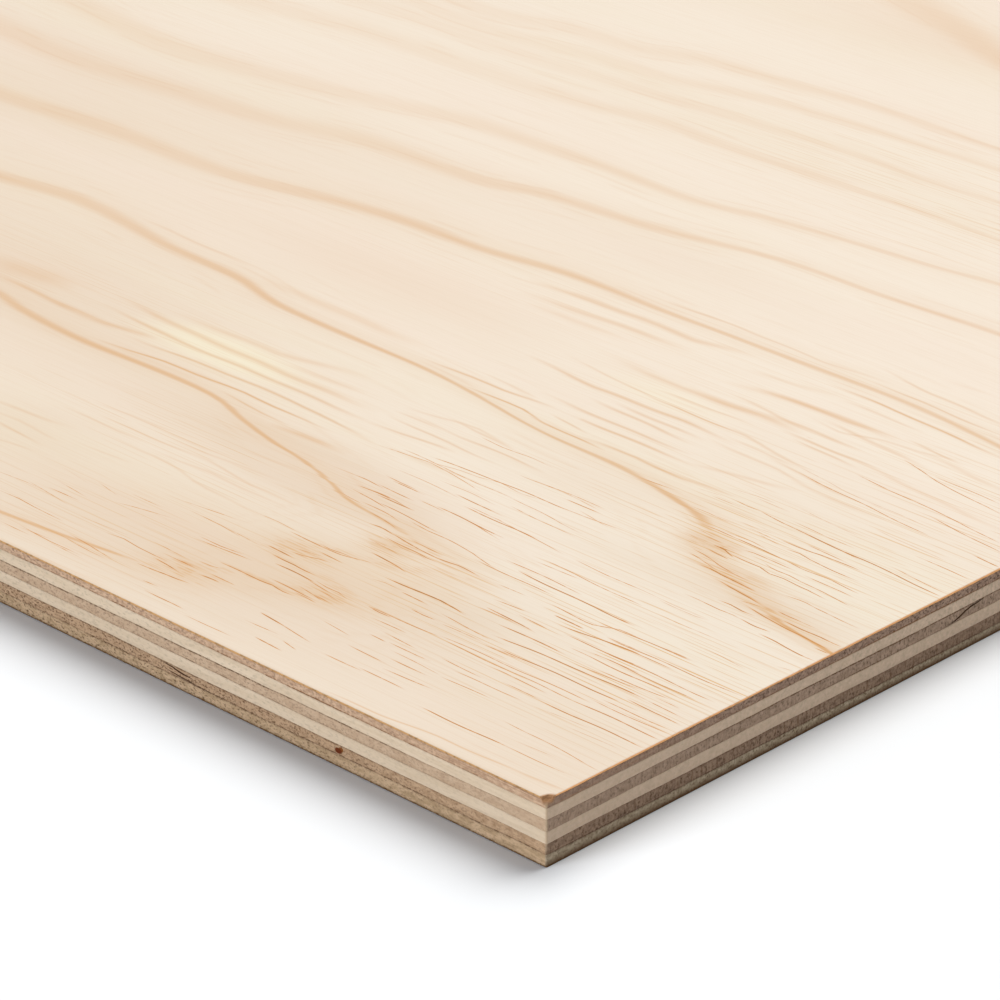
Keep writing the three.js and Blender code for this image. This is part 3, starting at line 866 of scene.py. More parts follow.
# Soft patches of colour: centre along and across, half length and half width, then warmer or paler
TONE_PATCHES = (
    (160, 42, 55, 24, 0.55), (235, 118, 32, 10, -1.1), (130, 180, 34, 11, -0.8), (250, 185, 80, 20, 0.35),
    (60, 145, 40, 10, 0.3), (300, 125, 40, 14, 0.3), (250, 320, 90, 22, -0.3), (240, 440, 70, 30, 0.35),
    (148, 80, 26, 10, 0.35), (52, 127, 24, 10, 0.3),
)

# Where the early wood is deeper in colour: centre along and across, half length and half width, and how much
DEEP_PATCHES = (
    (175, 22, 75, 36, 0.8), (100, 30, 45, 34, 0.45), (150, 80, 34, 12, 0.7), (237, 49, 30, 14, 0.5),
    (310, 110, 110, 46, 0.8), (440, 205, 120, 62, 0.4), (10, 12, 60, 46, 0.6), (310, 225, 110, 40, 0.1),
    (165, 85, 40, 12, 0.55), (20, 108, 30, 10, 0.5), (76, 50, 16, 12, 0.4), (200, 85, 60, 16, 0.4),
    (130, 78, 26, 9, 0.35), (60, 103, 34, 8, 0.3), (190, 252, 60, 16, 0.3), (105, 128, 30, 12, 0.3),
    (760, 150, 260, 90, 0.5), (1300, 500, 420, 120, 0.4), (1900, 250, 380, 110, 0.5),
    (2100, 900, 420, 140, 0.4), (700, 950, 360, 110, 0.45),
)

# Painted shade that darkens the face a little near the worn corner: centre along and across, half length and
# half width, and how much
PAINTED_SHADE_PATCHES = ((30, 90, 110, 90, 1), (130, 40, 70, 40, 0.5))


def ring_field(along, across):
    """Ring number at each place: a thin plate bent through the ring lines."""
    spots, numbers = [], []
    for number, line in RING_LINES:
        spots.extend(line)
        numbers.extend([number] * len(line))
    scale = np.array((1 / GRAIN_STRETCH, 1.0)) / 100
    spots = np.array(spots) * scale
    count = len(spots)

    def bend(places):
        square = ((places[:, None, :] - spots[None, :, :]) ** 2).sum(axis=2)
        return square * np.log(square + 1e-12)

    system = np.zeros((count + 3, count + 3))
    system[:count, :count] = bend(spots) + RING_SLACK * np.eye(count)
    system[:count, count] = system[count, :count] = 1
    system[:count, count + 1:] = spots
    system[count + 1:, :count] = spots.T
    weights = np.linalg.solve(system, np.array(numbers + [0, 0, 0], dtype=float))
    places = np.column_stack((along, across)) * scale
    field = np.empty(len(places))
    for start in range(0, len(places), FIELD_BATCH):
        part = places[start:start + FIELD_BATCH]
        field[start:start + FIELD_BATCH] = (
            bend(part) @ weights[:count] + weights[count] + part @ weights[count + 1:]
        )
    return field


def patches(along, across, spots):
    """Sum of soft oval patches."""
    total = np.zeros(len(along))
    for centre_along, centre_across, half_length, half_width, amount in spots:
        square = ((along - centre_along) / half_length) ** 2 + ((across - centre_across) / half_width) ** 2
        total += amount * np.exp(-square)
    return total


def marked(along, across, lines):
    """For each place, how strongly the line nearest to it shows, and how many half widths aside it runs."""
    nearest = np.full(len(along), FAR_ASIDE)
    strengths = np.zeros(len(along))
    shares = np.full(len(along), 9.0)
    for strength, half_width, *points in lines:
        reach = max(LEAST_REACH, REACH * half_width)
        (first, start), (last, _) = points[0], points[-1]
        # A wide line thins out over a longer stretch than a fine one
        thinning = np.clip(THINNING * half_width, LEAST_THINNING, MOST_THINNING)
        extra = 0.35 * (thinning - LEAST_THINNING)
        total = abs(last - first) + 2 * extra
        run = (along - first) * np.sign(last - first) + extra
        taper = np.clip(np.minimum(run, total - run) / min(thinning, 0.3 * total), 0, 1)
        wave = WOBBLE * np.sin(along / WOBBLE_LENGTH + start) * min(1.0, total / 25)
        # The line runs on unseen past both ends, so that it ends where it is, and not with a hook
        beyond = np.interp((first, last), *RUN_ON) + extra
        for number, (near, far) in enumerate(zip(points, points[1:])):
            (near_along, near_across), (far_along, far_across) = near, far
            span = far_along - near_along
            share = (along - near_along) / span
            aside = across - near_across - share * (far_across - near_across) + wave
            before = beyond[0] / abs(span) if number == 0 else 0.001
            after = beyond[1] / abs(span) if number == len(points) - 2 else 0.001
            here = (share >= -before) & (share <= 1 + after) & (abs(aside) < nearest)
            nearest[here] = abs(aside)[here]
            shares[here] = aside[here] / half_width
            fade = np.clip((reach - abs(aside)) / (0.3 * reach), 0, 1)
            strengths[here] = (strength * taper * fade)[here]
    return strengths, shares


def apart(line, other):
    """How far apart two lines run where they lie side by side."""
    line, other = sorted(line[2:]), sorted(other[2:])
    low, high = max(line[0][0], other[0][0]), min(line[-1][0], other[-1][0])
    if low > high + SIDE_BY_SIDE:
        return FAR_ASIDE
    at = (low, (low + high) / 2, high)
    return np.abs(np.interp(at, *zip(*line)) - np.interp(at, *zip(*other))).min()


def dealt(lines, count):
    """Deals lines to layers, so that neighbours lie in different ones and each keeps its own distance."""
    layers = [[] for _ in range(count)]
    for line in sorted(lines, key=lambda line: line[2][1]):
        room = [min([apart(line, other) for other in layer] + [ROOM_ENOUGH]) for layer in layers]
        layers[room.index(max(room))].append(line)
    return layers


def with_widths(checks):
    """Gives each check its half width: a strong one is wider."""
    widths = [FAINT_CHECK + CHECK_WIDENING * min(check[0], STRONGEST_CHECK) for check in checks]
    return [(check[0], width, *check[1:]) for check, width in zip(checks, widths)]


def draw_figure(mesh):
    """Writes the face's figure on its points."""
    co = np.empty(len(mesh.vertices) * 3)
    mesh.vertices.foreach_get("co", co)
    co = co.reshape(-1, 3)
    along = (SHEET_HIGH.x - co[:, 0]) / MM
    across = (co[:, 1] - SHEET_LOW.y) / MM
    height = (co[:, 2] - SHEET_LOW.z) / MM
    field = ring_field(along, across)
    slope_along = ring_field(along + 1.0, across) - field
    slope_across = ring_field(along, across + 1.0) - field
    pitch = 1 / np.clip(np.hypot(slope_along, slope_across), 1 / WIDEST_RINGS, 1 / NARROWEST_RINGS)
    inner = np.interp(field, *INNER_RINGS)
    strength = np.interp(field, *zip(*RING_STRENGTHS))
    strength *= 1 + inner * np.interp(along, *INNER_STRONGER_ALONG)
    strength *= np.interp(along, *STRENGTH_ALONG)
    strength *= np.interp(across, *STRENGTH_ACROSS)
    width = np.interp(along, *WIDTH_ALONG)
    width *= np.interp(across, *WIDTH_ACROSS)
    width *= 1 + inner * np.interp(along, *INNER_WIDER_ALONG)
    from_side = np.minimum(across, WIDTH - across)
    from_end = np.minimum(along, LENGTH - along)
    layers = {
        "ring": field,
        "ring_slope": slope_along,
        "ring_pitch": pitch,
        "ring_strength": strength,
        "ring_width": width,
        "frayed": np.clip(patches(along, across, FRAYED_PATCHES), 0.12, 1),
        "bundle": np.clip(patches(along, across, BUNDLES), 0, 1.3),
        "tone": patches(along, across, TONE_PATCHES),
        "smudge": np.clip(patches(along, across, SMUDGES), 0, 1),
        "deep": np.clip(patches(along, across, DEEP_PATCHES), 0, 1),
        "painted_shade": np.clip(patches(along, across, PAINTED_SHADE_PATCHES), 0, 1),
        "rim": np.exp(-((from_side / RIM_WIDTH) ** 2)),
        "sawn": np.clip((THICKNESS - height) / ARRIS_HEIGHT, 0, 1),
        "sawn_end": (from_end < 0.2).astype(float),
    }
    on_face = height > THICKNESS - NEAR_EDGE
    for name, count, lines in (("check", CHECK_LAYERS, with_widths(CHECKS)), ("band", BAND_LAYERS, BANDS)):
        for number, layer in enumerate(dealt(lines, count)):
            shown, aside = marked(along, across, layer)
            layers[f"{name}_{number}"] = shown * on_face
            layers[f"{name}_{number}_aside"] = aside
    for name, values in layers.items():
        mesh.attributes.new(name, "FLOAT", "POINT").data.foreach_set("value", values.astype(np.float32))


def build_face(sizes):
    """The face veneer: a fine grid for its sanded face, its edge drawn down from it, and a flat back."""
    radius = sizes.corner_radius / MM
    arris = sizes.arris / MM
    columns = stations(0, LENGTH, FACE_SPANS_ALONG)
    rows = stations(0, WIDTH, FACE_SPANS_ACROSS)
    bm = bmesh.new()
    bmesh.ops.create_grid(bm, x_segments=len(columns) - 1, y_segments=len(rows) - 1, size=1.0)
    for vert in bm.verts:
        along = columns[round((1 - vert.co.x) / 2 * (len(columns) - 1))]
        across = rows[round((1 + vert.co.y) / 2 * (len(rows) - 1))]
        vert.co = place(along, across, THICKNESS)

    # Heights and insets down the edge. The first is the rim of the sanded face.
    glue_line = len(PLIES) - 1
    levels = (
        (THICKNESS, arris),
        (THICKNESS - ARRIS_SHARE * arris, ARRIS_SHARE * arris),
        (THICKNESS - arris, 0.0),
        (None, sizes.glue_groove / MM),
    )
    rim = [edge for edge in bm.edges if edge.is_boundary]
    outline = {vert: (along_of(vert.co), across_of(vert.co)) for edge in rim for vert in edge.verts}
    for number, (level, inset) in enumerate(levels):
        if number:
            drawn = bmesh.ops.extrude_edge_only(bm, edges=rim)["geom"]
            new = [item for item in drawn if isinstance(item, bmesh.types.BMVert)]
            rim = [item for item in drawn if isinstance(item, bmesh.types.BMEdge) and item.is_boundary]
            outline = {vert: at[vert.co.to_tuple(7)] for vert in new}
        at = {}
        for vert, (along, across) in outline.items():
            height = glue_height(glue_line, along, across) if level is None else level
            vert.co = place(*rim_point(along, across, radius, inset), height)
            at[vert.co.to_tuple(7)] = (along, across)

    bruise = bm.verts.layers.float.new("bruise")
    for vert in bm.verts:
        along, across, height = along_of(vert.co), across_of(vert.co), height_of(vert.co)
        if along < BRUISE_LIMIT and across < BRUISE_LIMIT:
            along, across, vert[bruise] = bruised(along, across, height)
            vert.co = place(along, across, height)
    bmesh.ops.remove_doubles(bm, verts=bm.verts, dist=0.02 * MM)
    piece = closed_piece(bm, "pine_face")
    draw_figure(piece.data)
    return piece


# ---------------------------------------------------------------- finishes


class Finish:
    """A node material, put together one step at a time. Each step returns its output socket."""

    def __init__(self, name):
        self.material = bpy.data.materials.new(name)
        self.material.use_nodes = True
        self.nodes = self.material.node_tree.nodes
        self.links = self.material.node_tree.links
        self.nodes.clear()

    def step(self, kind, inputs=(), **settings):
        node = self.nodes.new(kind)
        for key, value in settings.items():
            setattr(node, key, value)
        for key, value in inputs:
            if isinstance(value, bpy.types.NodeSocket):
                self.links.new(value, node.inputs[key])
            else:
                node.inputs[key].default_value = value
        return node

    def calc(self, operation, first, second=0.0, third=None, clamp=False):
        inputs = [(0, first), (1, second)] + ([(2, third)] if third is not None else [])
        return self.step("ShaderNodeMath", inputs, operation=operation, use_clamp=clamp).outputs[0]

    def times(self, *values, clamp=False):
        """The product of two or more values."""
        product = values[0]
        for number, value in enumerate(values[1:], start=2):
            product = self.calc("MULTIPLY", product, value, clamp=clamp and number == len(values))
        return product

    def attribute(self, name):
        return self.step("ShaderNodeAttribute", attribute_name=name).outputs["Fac"]

    def blend(self, share, first, second, kind="MIX"):
        inputs = [(0, share), (6, first), (7, second)]
        return self.step("ShaderNodeMix", inputs, data_type="RGBA", blend_type=kind).outputs[2]

    def between(self, share, first, second):
        """A value between two others."""
        inputs = [(0, share), (2, first), (3, second)]
        return self.step("ShaderNodeMix", inputs, data_type="FLOAT").outputs[0]

    def ramp(self, value, low, high, to_low=0.0, to_high=1.0):
        """Smooth step of a value from one range to another."""
        inputs = [(0, value), (1, low), (2, high), (3, to_low), (4, to_high)]
        return self.step("ShaderNodeMapRange", inputs, interpolation_type="SMOOTHSTEP").outputs[0]

    def bell(self, value, width):
        """A hump that is 1 where the value is 0 and falls away over the width."""
        share = self.calc("DIVIDE", value, width)
        return self.calc("EXPONENT", self.times(self.times(share, share), -1.0))

    def where(self):
        return self.step("ShaderNodeTexCoord").outputs["Object"]

    def coordinate(self, axis):
        """Where a place lies along an axis, in metres."""
        return self.step("ShaderNodeSeparateXYZ", [(0, self.where())]).outputs[axis]

    def figure(self, size, detail=2.0, roughness=0.5, shift=(0.0, 0.0, 0.0)):
        """Noise in the wood, about 0 to 1, with the size of its features along, across and up."""
        scale = [1 / (part * MM) for part in size]
        placed = self.step("ShaderNodeMapping", [(0, self.where()), (1, shift), (3, scale)]).outputs[0]
        inputs = [("Vector", placed), ("Scale", 1.0), ("Detail", detail), ("Roughness", roughness)]
        return self.step("ShaderNodeTexNoise", inputs).outputs[0]

    def fibres(self, pitch, drift):
        """The number of the fibre at each place, and how far aside of its middle, in millimetres."""
        drifted = self.calc("MULTIPLY_ADD", self.coordinate(1), 1 / MM, drift)
        number = self.calc("ROUND", self.calc("DIVIDE", drifted, pitch))
        return number, self.calc("MULTIPLY_ADD", number, -pitch, drifted)

    def chance(self, number, seed):
        """A number from 0 to 1 that is the same all along a fibre."""
        inputs = [("W", self.calc("ADD", number, seed))]
        return self.step("ShaderNodeTexWhiteNoise", inputs, noise_dimensions="1D").outputs["Value"]

    def stretches(self, number, reach, seed):
        """Noise along each fibre, with the size of its features in millimetres. About 0 to 1."""
        along = self.coordinate(0)
        start = self.times(self.chance(number, seed), 900.0)
        placed = self.calc("MULTIPLY_ADD", along, 1 / (reach * MM), start)
        inputs = [("W", placed), ("Scale", 1.0), ("Detail", 1.0)]
        return self.step("ShaderNodeTexNoise", inputs, noise_dimensions="1D").outputs[0]

    def spot(self, centre, size):
        """A soft oval mark about a point, with its half sizes in millimetres."""
        inputs = [(0, self.where()), (1, centre)]
        off = self.step("ShaderNodeVectorMath", inputs, operation="SUBTRACT").outputs[0]
        inputs = [(0, off), (1, [1 / (part * MM) for part in size])]
        off = self.step("ShaderNodeVectorMath", inputs, operation="MULTIPLY").outputs[0]
        length = self.step("ShaderNodeVectorMath", [(0, off)], operation="LENGTH").outputs["Value"]
        return self.ramp(length, 1.15, 0.75)

    def wood(self, colour, roughness, height, depth):
        """The shader itself: bare, softly scattering wood, with its relief's depth in millimetres."""
        inputs = [("Height", height), ("Strength", 1.0), ("Distance", depth * MM)]
        bump = self.step("ShaderNodeBump", inputs).outputs[0]
        inputs = [("Base Color", colour), ("Roughness", roughness), ("Normal", bump), ("IOR", 1.4)]
        inputs.append(("Specular IOR Level", 0.25))
        shader = self.step("ShaderNodeBsdfPrincipled", inputs)
        self.step("ShaderNodeOutputMaterial", [("Surface", shader.outputs[0])])
        return self.material


def rgba(colour, share=1.0):
    """A colour for a socket, or a share of it where it is to be darker or lighter."""
    return (*(share * part for part in colour), 1.0)


def crushed_wood(wood, finish):
    """Colour of the fibres in the bruise."""
    tangle = wood.figure((0.4, 0.4, 0.25), 3.0, 0.6)
    return wood.blend(tangle, rgba(finish.bruise_dark), rgba(finish.bruise_light))


# The face's fibres, and how far they drift sideways along the sheet
FIBRE_PITCH = 0.95
FIBRE_DRIFT = 8.0
SLIP = 10.0  # by which late wood slips from fibre to fibre where it crosses the grain
SWAY = 2.4  # of the late wood, where it runs with the grain

# Fine lines beside the late wood
BESIDE_PITCH = 2.8
BESIDE_PER_RING = 40.0

# Fine brown fibres: their pitch, how long their stretches are, a seed, and their half width
BROWN_FIBRES = ((1.7, 34.0, 40.0, 0.11), (2.9, 60.0, 80.0, 0.14))

LateWood = namedtuple("LateWood", "line shade dash beside")


def late_wood(pine, drift):
    """Late wood: the ring number, slipped from fibre to fibre where a line crosses the grain."""
    calc, times = pine.calc, pine.times
    number, off = pine.fibres(FIBRE_PITCH, drift)
    roll = calc("SUBTRACT", pine.chance(number, 3.0), 0.5)
    sway = calc("SUBTRACT", pine.figure((90, 16, 90)), 0.5)
    slope, pitch = pine.attribute("ring_slope"), pine.attribute("ring_pitch")
    crossing = calc("ABSOLUTE", times(slope, pitch))
    frayed = pine.attribute("frayed")
    crossing = times(pine.ramp(crossing, 0.10, 0.42), frayed)
    slip = times(times(roll, calc("MULTIPLY_ADD", crossing, SLIP, 1.0)), slope)
    ring = calc("ADD", pine.attribute("ring"), slip)
    ring = calc("ADD", ring, calc("DIVIDE", times(sway, SWAY), pitch))
    aside = times(calc("SUBTRACT", ring, calc("ROUND", ring)), pitch)
    strength = pine.attribute("ring_strength")
    width = calc("MULTIPLY_ADD", crossing, 1.1, pine.attribute("ring_width"))
    line = pine.ramp(calc("DIVIDE", calc("ABSOLUTE", aside), width), 1.9, 0.2)
    shade = pine.bell(calc("ADD", aside, -1.0), times(calc("ADD", width, 1.2), 2.2))
    dash = pine.ramp(pine.stretches(number, 9.0, 21.0), 0.42, 0.58, 0.15, 1.0)
    dash = times(dash, pine.bell(off, 0.26))
    softer_dash = times(dash, 0.75)
    loose = calc("MAXIMUM", crossing, pine.ramp(frayed, 0.15, 0.6))
    line = times(times(line, strength), pine.between(loose, 0.9, softer_dash))
    line = times(line, pine.ramp(frayed, 0.15, 0.7, 1.0, 0.6))
    shade = times(shade, strength)

    # Fine lines that run beside the late wood for a stretch
    beside = calc("ROUND", calc("DIVIDE", aside, BESIDE_PITCH))
    beside_off = calc("MULTIPLY_ADD", beside, -BESIDE_PITCH, aside)
    beside_number = calc("MULTIPLY_ADD", calc("ROUND", ring), BESIDE_PER_RING, beside)
    beside_line = pine.ramp(pine.stretches(beside_number, 45.0, 5.0), 0.50, 0.66)
    beside_line = times(beside_line, pine.bell(beside_off, 0.55))
    beside_line = times(beside_line, pine.bell(aside, 15.0))
    return LateWood(line, shade, dash, times(beside_line, calc("SUBTRACT", 1.0, crossing)))


def face_wood(pine, finish, late, grain):
    """Early wood in its hues, with the late wood, its shade and its smudges over it."""
    calc, times = pine.calc, pine.times
    broad = calc("SUBTRACT", pine.figure((420, 70, 90)), 0.5)
    tone = calc("ADD", pine.attribute("tone"), times(broad, 0.9))
    deep = calc("ADD", pine.attribute("deep"), times(broad, 0.5), clamp=True)
    hue = pine.figure((210, 34, 90), 2.0, 0.55, (4.0, 0.0, 0.0))
    smudge = pine.attribute("smudge")
    smudged = times(smudge, pine.ramp(grain, 0.32, 0.62, 0.45, 1.1), clamp=True)
    colour = rgba(finish.cream)
    for share, wood in (
        (deep, finish.deep_cream),
        (pine.ramp(hue, 0.5, 0.72, 0.0, 0.3), finish.rosy),
        (pine.ramp(hue, 0.5, 0.28, 0.0, 0.35), finish.straw),
        (pine.ramp(tone, 0.0, 1.0, 0.0, 0.75), finish.peach),
        (pine.ramp(tone, -0.15, -1.1, 0.0, 0.8), finish.pale),
        (times(late.beside, 0.16), finish.late_wood),
        (pine.ramp(grain, 0.4, 0.75, 0.0, 0.16), finish.ring_shade),
        (smudged, finish.ring_shade),
        (times(late.dash, times(smudge, 0.85)), finish.late_wood),
        (times(late.shade, 0.42, clamp=True), finish.ring_shade),
        (times(pine.attribute("rim"), 0.3), finish.ring_shade),
        (times(late.line, 0.95, clamp=True), finish.late_wood),
    ):
        colour = pine.blend(share, colour, rgba(wood))
    # Painted shade: the face darkened a little near the worn corner
    return pine.blend(pine.attribute("painted_shade"), colour, rgba(finish.painted_shade_tint), "MULTIPLY")


def fine_lines(pine, finish, drift, colour):
    """Brown fibres in bundles, soft bands of late wood, and checks, which are darkest at heart."""
    calc, times = pine.calc, pine.times
    thin = []
    for pitch, reach, seed, half_width in BROWN_FIBRES:
        number, off = pine.fibres(pitch, drift)
        seen = pine.ramp(pine.stretches(number, reach, seed), 0.44, 0.57)
        seen = times(seen, calc("MULTIPLY_ADD", pine.chance(number, seed + 7), 0.7, 0.3))
        thin.append(times(seen, pine.bell(off, half_width)))
    fibres = times(calc("MAXIMUM", *thin), times(pine.attribute("bundle"), 1.3), clamp=True)
    colour = pine.blend(fibres, colour, rgba(finish.brown_fibre))
    for layer in range(BAND_LAYERS):
        mark = times(pine.bell(pine.attribute(f"band_{layer}_aside"), 1.0), pine.attribute(f"band_{layer}"))
        colour = pine.blend(times(mark, 0.8, clamp=True), colour, rgba(finish.late_wood))
    broken = pine.ramp(pine.figure((2.6, 0.8, 40), 2.0, 0.5, (7.0, 2.0, 0.0)), 0.32, 0.55, 0.45, 1.0)
    deepest = 0.0
    for layer in range(CHECK_LAYERS):
        mark = times(pine.bell(pine.attribute(f"check_{layer}_aside"), 1.0), pine.attribute(f"check_{layer}"))
        mark = times(mark, broken)
        deepest = calc("MAXIMUM", mark, deepest)
        colour = pine.blend(times(mark, 2.3, clamp=True), colour, rgba(finish.check_brown))
    heart = calc("MULTIPLY_ADD", deepest, 1.15, -0.5, clamp=True)
    return pine.blend(heart, colour, rgba(finish.check_heart))


def face_edge(pine, finish, colour):
    """The sawn edge of the face veneer, and the bruise."""
    calc, times = pine.calc, pine.times
    end, bruise = pine.attribute("sawn_end"), pine.attribute("bruise")
    # On the ends the sawn edge is painted brighter than on the sides: its own colour with a painted highlight
    edge = pine.blend(end, rgba(finish.face_edge), rgba(finish.face_end_and_highlight))
    beads = pine.ramp(pine.figure((1.4, 3.0, 2), 2.0, 0.6, (3.0, 1.0, 0.0)), 0.46, 0.7, 0.0, 0.75)
    beads = times(beads, calc("MULTIPLY_ADD", end, -0.55, 1.0))
    edge = pine.blend(beads, edge, rgba(finish.face_edge, 0.5))
    torn_edge = times(pine.figure((1.3, 1.3, 0.6), 3.0, 0.6), 0.5)
    sawn = pine.ramp(calc("ADD", pine.attribute("sawn"), torn_edge), 0.3, 0.9)
    colour = pine.blend(sawn, colour, edge)
    colour = pine.blend(bruise, colour, crushed_wood(pine, finish))
    lip = pine.bell(calc("ADD", bruise, -0.55), 0.3)
    return pine.blend(times(lip, 0.3), colour, rgba(finish.bruise_dark))


def face_finish(finish):
    """Sanded pine: cream early wood, tan late wood in wandering lines, brown fibres and fine checks."""
    pine = Finish("sanded_pine_face")
    drift = pine.times(pine.calc("SUBTRACT", pine.figure((300, 14, 90), 1.0), 0.5), FIBRE_DRIFT)
    grain = pine.figure((24, 0.40, 40), 3.0, 0.6, (0.0, 5.0, 0.0))
    colour = face_wood(pine, finish, late_wood(pine, drift), grain)
    colour = fine_lines(pine, finish, drift, colour)
    colour = face_edge(pine, finish, colour)
    return pine.wood(colour, pine.ramp(grain, 0.3, 0.8, 0.52, 0.68), grain, 0.02)


# A kind of sawn veneer: sizes of its fibres on the sides and on the ends, size of its blotches, how strong
# its streaks and its upright bars on the ends are, and how dark its lower edge is painted, partly as a
# scorched look and partly as painted contact shade where the sheet meets the floor
Veneer = namedtuple("Veneer", "side_grain end_grain blotches streaks bars scorch")
CORE = Veneer((1.4, 1.4, 0.6), (0.9, 0.9, 0.9), (26, 1.8, 1.4), 0.25, 0.0, 0.0)
UPPER_CROSSBAND = Veneer((0.9, 0.9, 0.55), (0.8, 0.8, 0.7), (1.8, 2.0, 1.0), 1.0, 0.5, 0.0)
CROSSBAND = Veneer((0.75, 0.75, 0.5), (0.8, 0.8, 1.1), (2.4, 2.2, 1.0), 0.3, 0.6, 0.0)
BACK = Veneer((1.0, 1.0, 0.55), (0.8, 0.8, 0.8), (3.2, 2.2, 1.1), 0.3, 0.0, 0.95)

# The pin knot in the long side of the lower crossband: place, and half sizes
KNOT_SIDE = ((67.3, 0.0, 5.0), (0.8, 2.0, 0.65))
KNOT_HEART = ((68.2, 0.0, 4.4), (1.25, 2.0, 0.8))


def sawn_wood(ply, look, veneer, speckle, blotch):
    """Sawn veneer: blotches, streaks, and fibres that stand torn where it is coarsely sawn."""
    times = ply.times
    end, rough_sawn = ply.attribute("sawn_end"), ply.attribute("rough_sawn")
    # On the ends the wood takes darker copies of its colours, and darker pores: partly the end's own colour,
    # partly painted shade of the ends
    light = ply.blend(end, rgba(look.light), rgba(look.end_light))
    dark = ply.blend(end, rgba(look.dark), rgba(look.end_dark))
    pore = ply.blend(end, rgba(look.pore), rgba(look.pore, 0.5 if veneer.bars else 0.75))
    fleck = ply.blend(end, light, rgba(look.end_light, 1.3))
    clean = ply.calc("SUBTRACT", 1.2, rough_sawn, clamp=True)
    torn_out = times(rough_sawn, look.speckle)

    def stripes(size, shift, low, high, strength):
        return ply.ramp(ply.figure(size, 2.0, 0.5, shift), low, high, 0.0, strength)

    broad = ply.ramp(ply.figure((60, 60, 12), 1.0, 0.5, (5.0, 0.0, 0.0)), 0.35, 0.7, 0.0, 0.35)
    streak = stripes((16, 16, 0.45), (1.0, 5.0, 0.0), 0.45, 0.70, veneer.streaks)
    pale_streak = stripes((22, 22, 0.6), (6.0, 2.0, 0.0), 0.52, 0.72, veneer.streaks)
    bar = stripes((0.8, 0.8, 6), (3.0, 7.0, 0.0), 0.56, 0.72, veneer.bars)
    pale_bar = stripes((0.9, 0.9, 5), (9.0, 3.0, 0.0), 0.58, 0.74, veneer.bars * 0.8)
    colour = light
    for share, wood in (
        (ply.ramp(blotch, 0.35, 0.65), dark),
        (broad, dark),
        (times(streak, clean), rgba(look.streak)),
        (times(pale_streak, clean), light),
        (times(ply.ramp(speckle, 0.49, 0.70), torn_out, clamp=True), pore),
        (times(ply.ramp(speckle, 0.47, 0.27, 0.0, 0.7), torn_out, clamp=True), fleck),
        (times(bar, end), rgba(look.pore)),
        (times(pale_bar, end), light),
    ):
        colour = ply.blend(share, colour, wood)
    return colour


def glue_lines(ply, look, ragged, colour):
    """The dark glue lines along a ply's two rims, beaded and broken. On the back veneer the lower one is
    painted contact shade.
    """
    times = ply.times
    broken = ply.ramp(ply.figure((6, 6, 3), 3.0, 0.7, (8.0, 1.0, 2.0)), 0.36, 0.58, 0.4, 1.0)
    beads = ply.ramp(ply.figure((0.8, 0.8, 3), 1.0, 0.5, (2.0, 6.0, 5.0)), 0.34, 0.60, 0.5, 1.5)
    shown = times(ply.attribute("glue_shown"), times(broken, beads))
    # On the back veneer the lower glue line is painted contact shade along the underside's edge, where no
    # glue runs
    for side, strength in (("below_glue", look.glue_above), ("above_glue", look.glue_under)):
        near = ply.calc("ADD", ply.attribute(side), ragged)
        glue = times(ply.ramp(near, 0.40, 0.18), shown)
        colour = ply.blend(times(glue, strength, clamp=True), colour, rgba(look.glue))
    return colour


def back_underside(ply, look, veneer, ragged, colour):
    """The back veneer's darkened lower edge, partly a scorched look and partly painted contact shade, a
    painted shadow at the foot of its ends, and its plain underside with the grain along the sheet.
    """
    above, end = ply.attribute("above_glue"), ply.attribute("sawn_end")
    low = ply.calc("ADD", above, ply.times(ragged, 3.0))
    # Painted contact shade along the lower edge, partly a scorched look, in the glue colour
    colour = ply.blend(ply.ramp(low, 0.85, 0.10, 0.0, veneer.scorch), colour, rgba(look.glue))
    # Painted shadow at the foot of the ends, in the glue colour
    shadow = ply.times(ply.ramp(above, 2.2, 0.2, 0.0, 0.75), end)
    colour = ply.blend(shadow, colour, rgba(look.glue))
    rings = ply.ramp(ply.figure((700, 16, 90), 2.0, 0.55), 0.40, 0.66, 0.0, 0.75)
    grain = ply.ramp(ply.figure((30, 0.5, 90), 3.0, 0.6), 0.40, 0.75, 0.0, 0.35)
    plain = ply.blend(rings, rgba(look.light), rgba(look.dark))
    plain = ply.blend(grain, plain, rgba(look.dark))
    underside = ply.ramp(ply.coordinate(2), SHEET_LOW.z + 0.010 * MM, SHEET_LOW.z + 0.002 * MM)
    return ply.blend(underside, colour, plain)


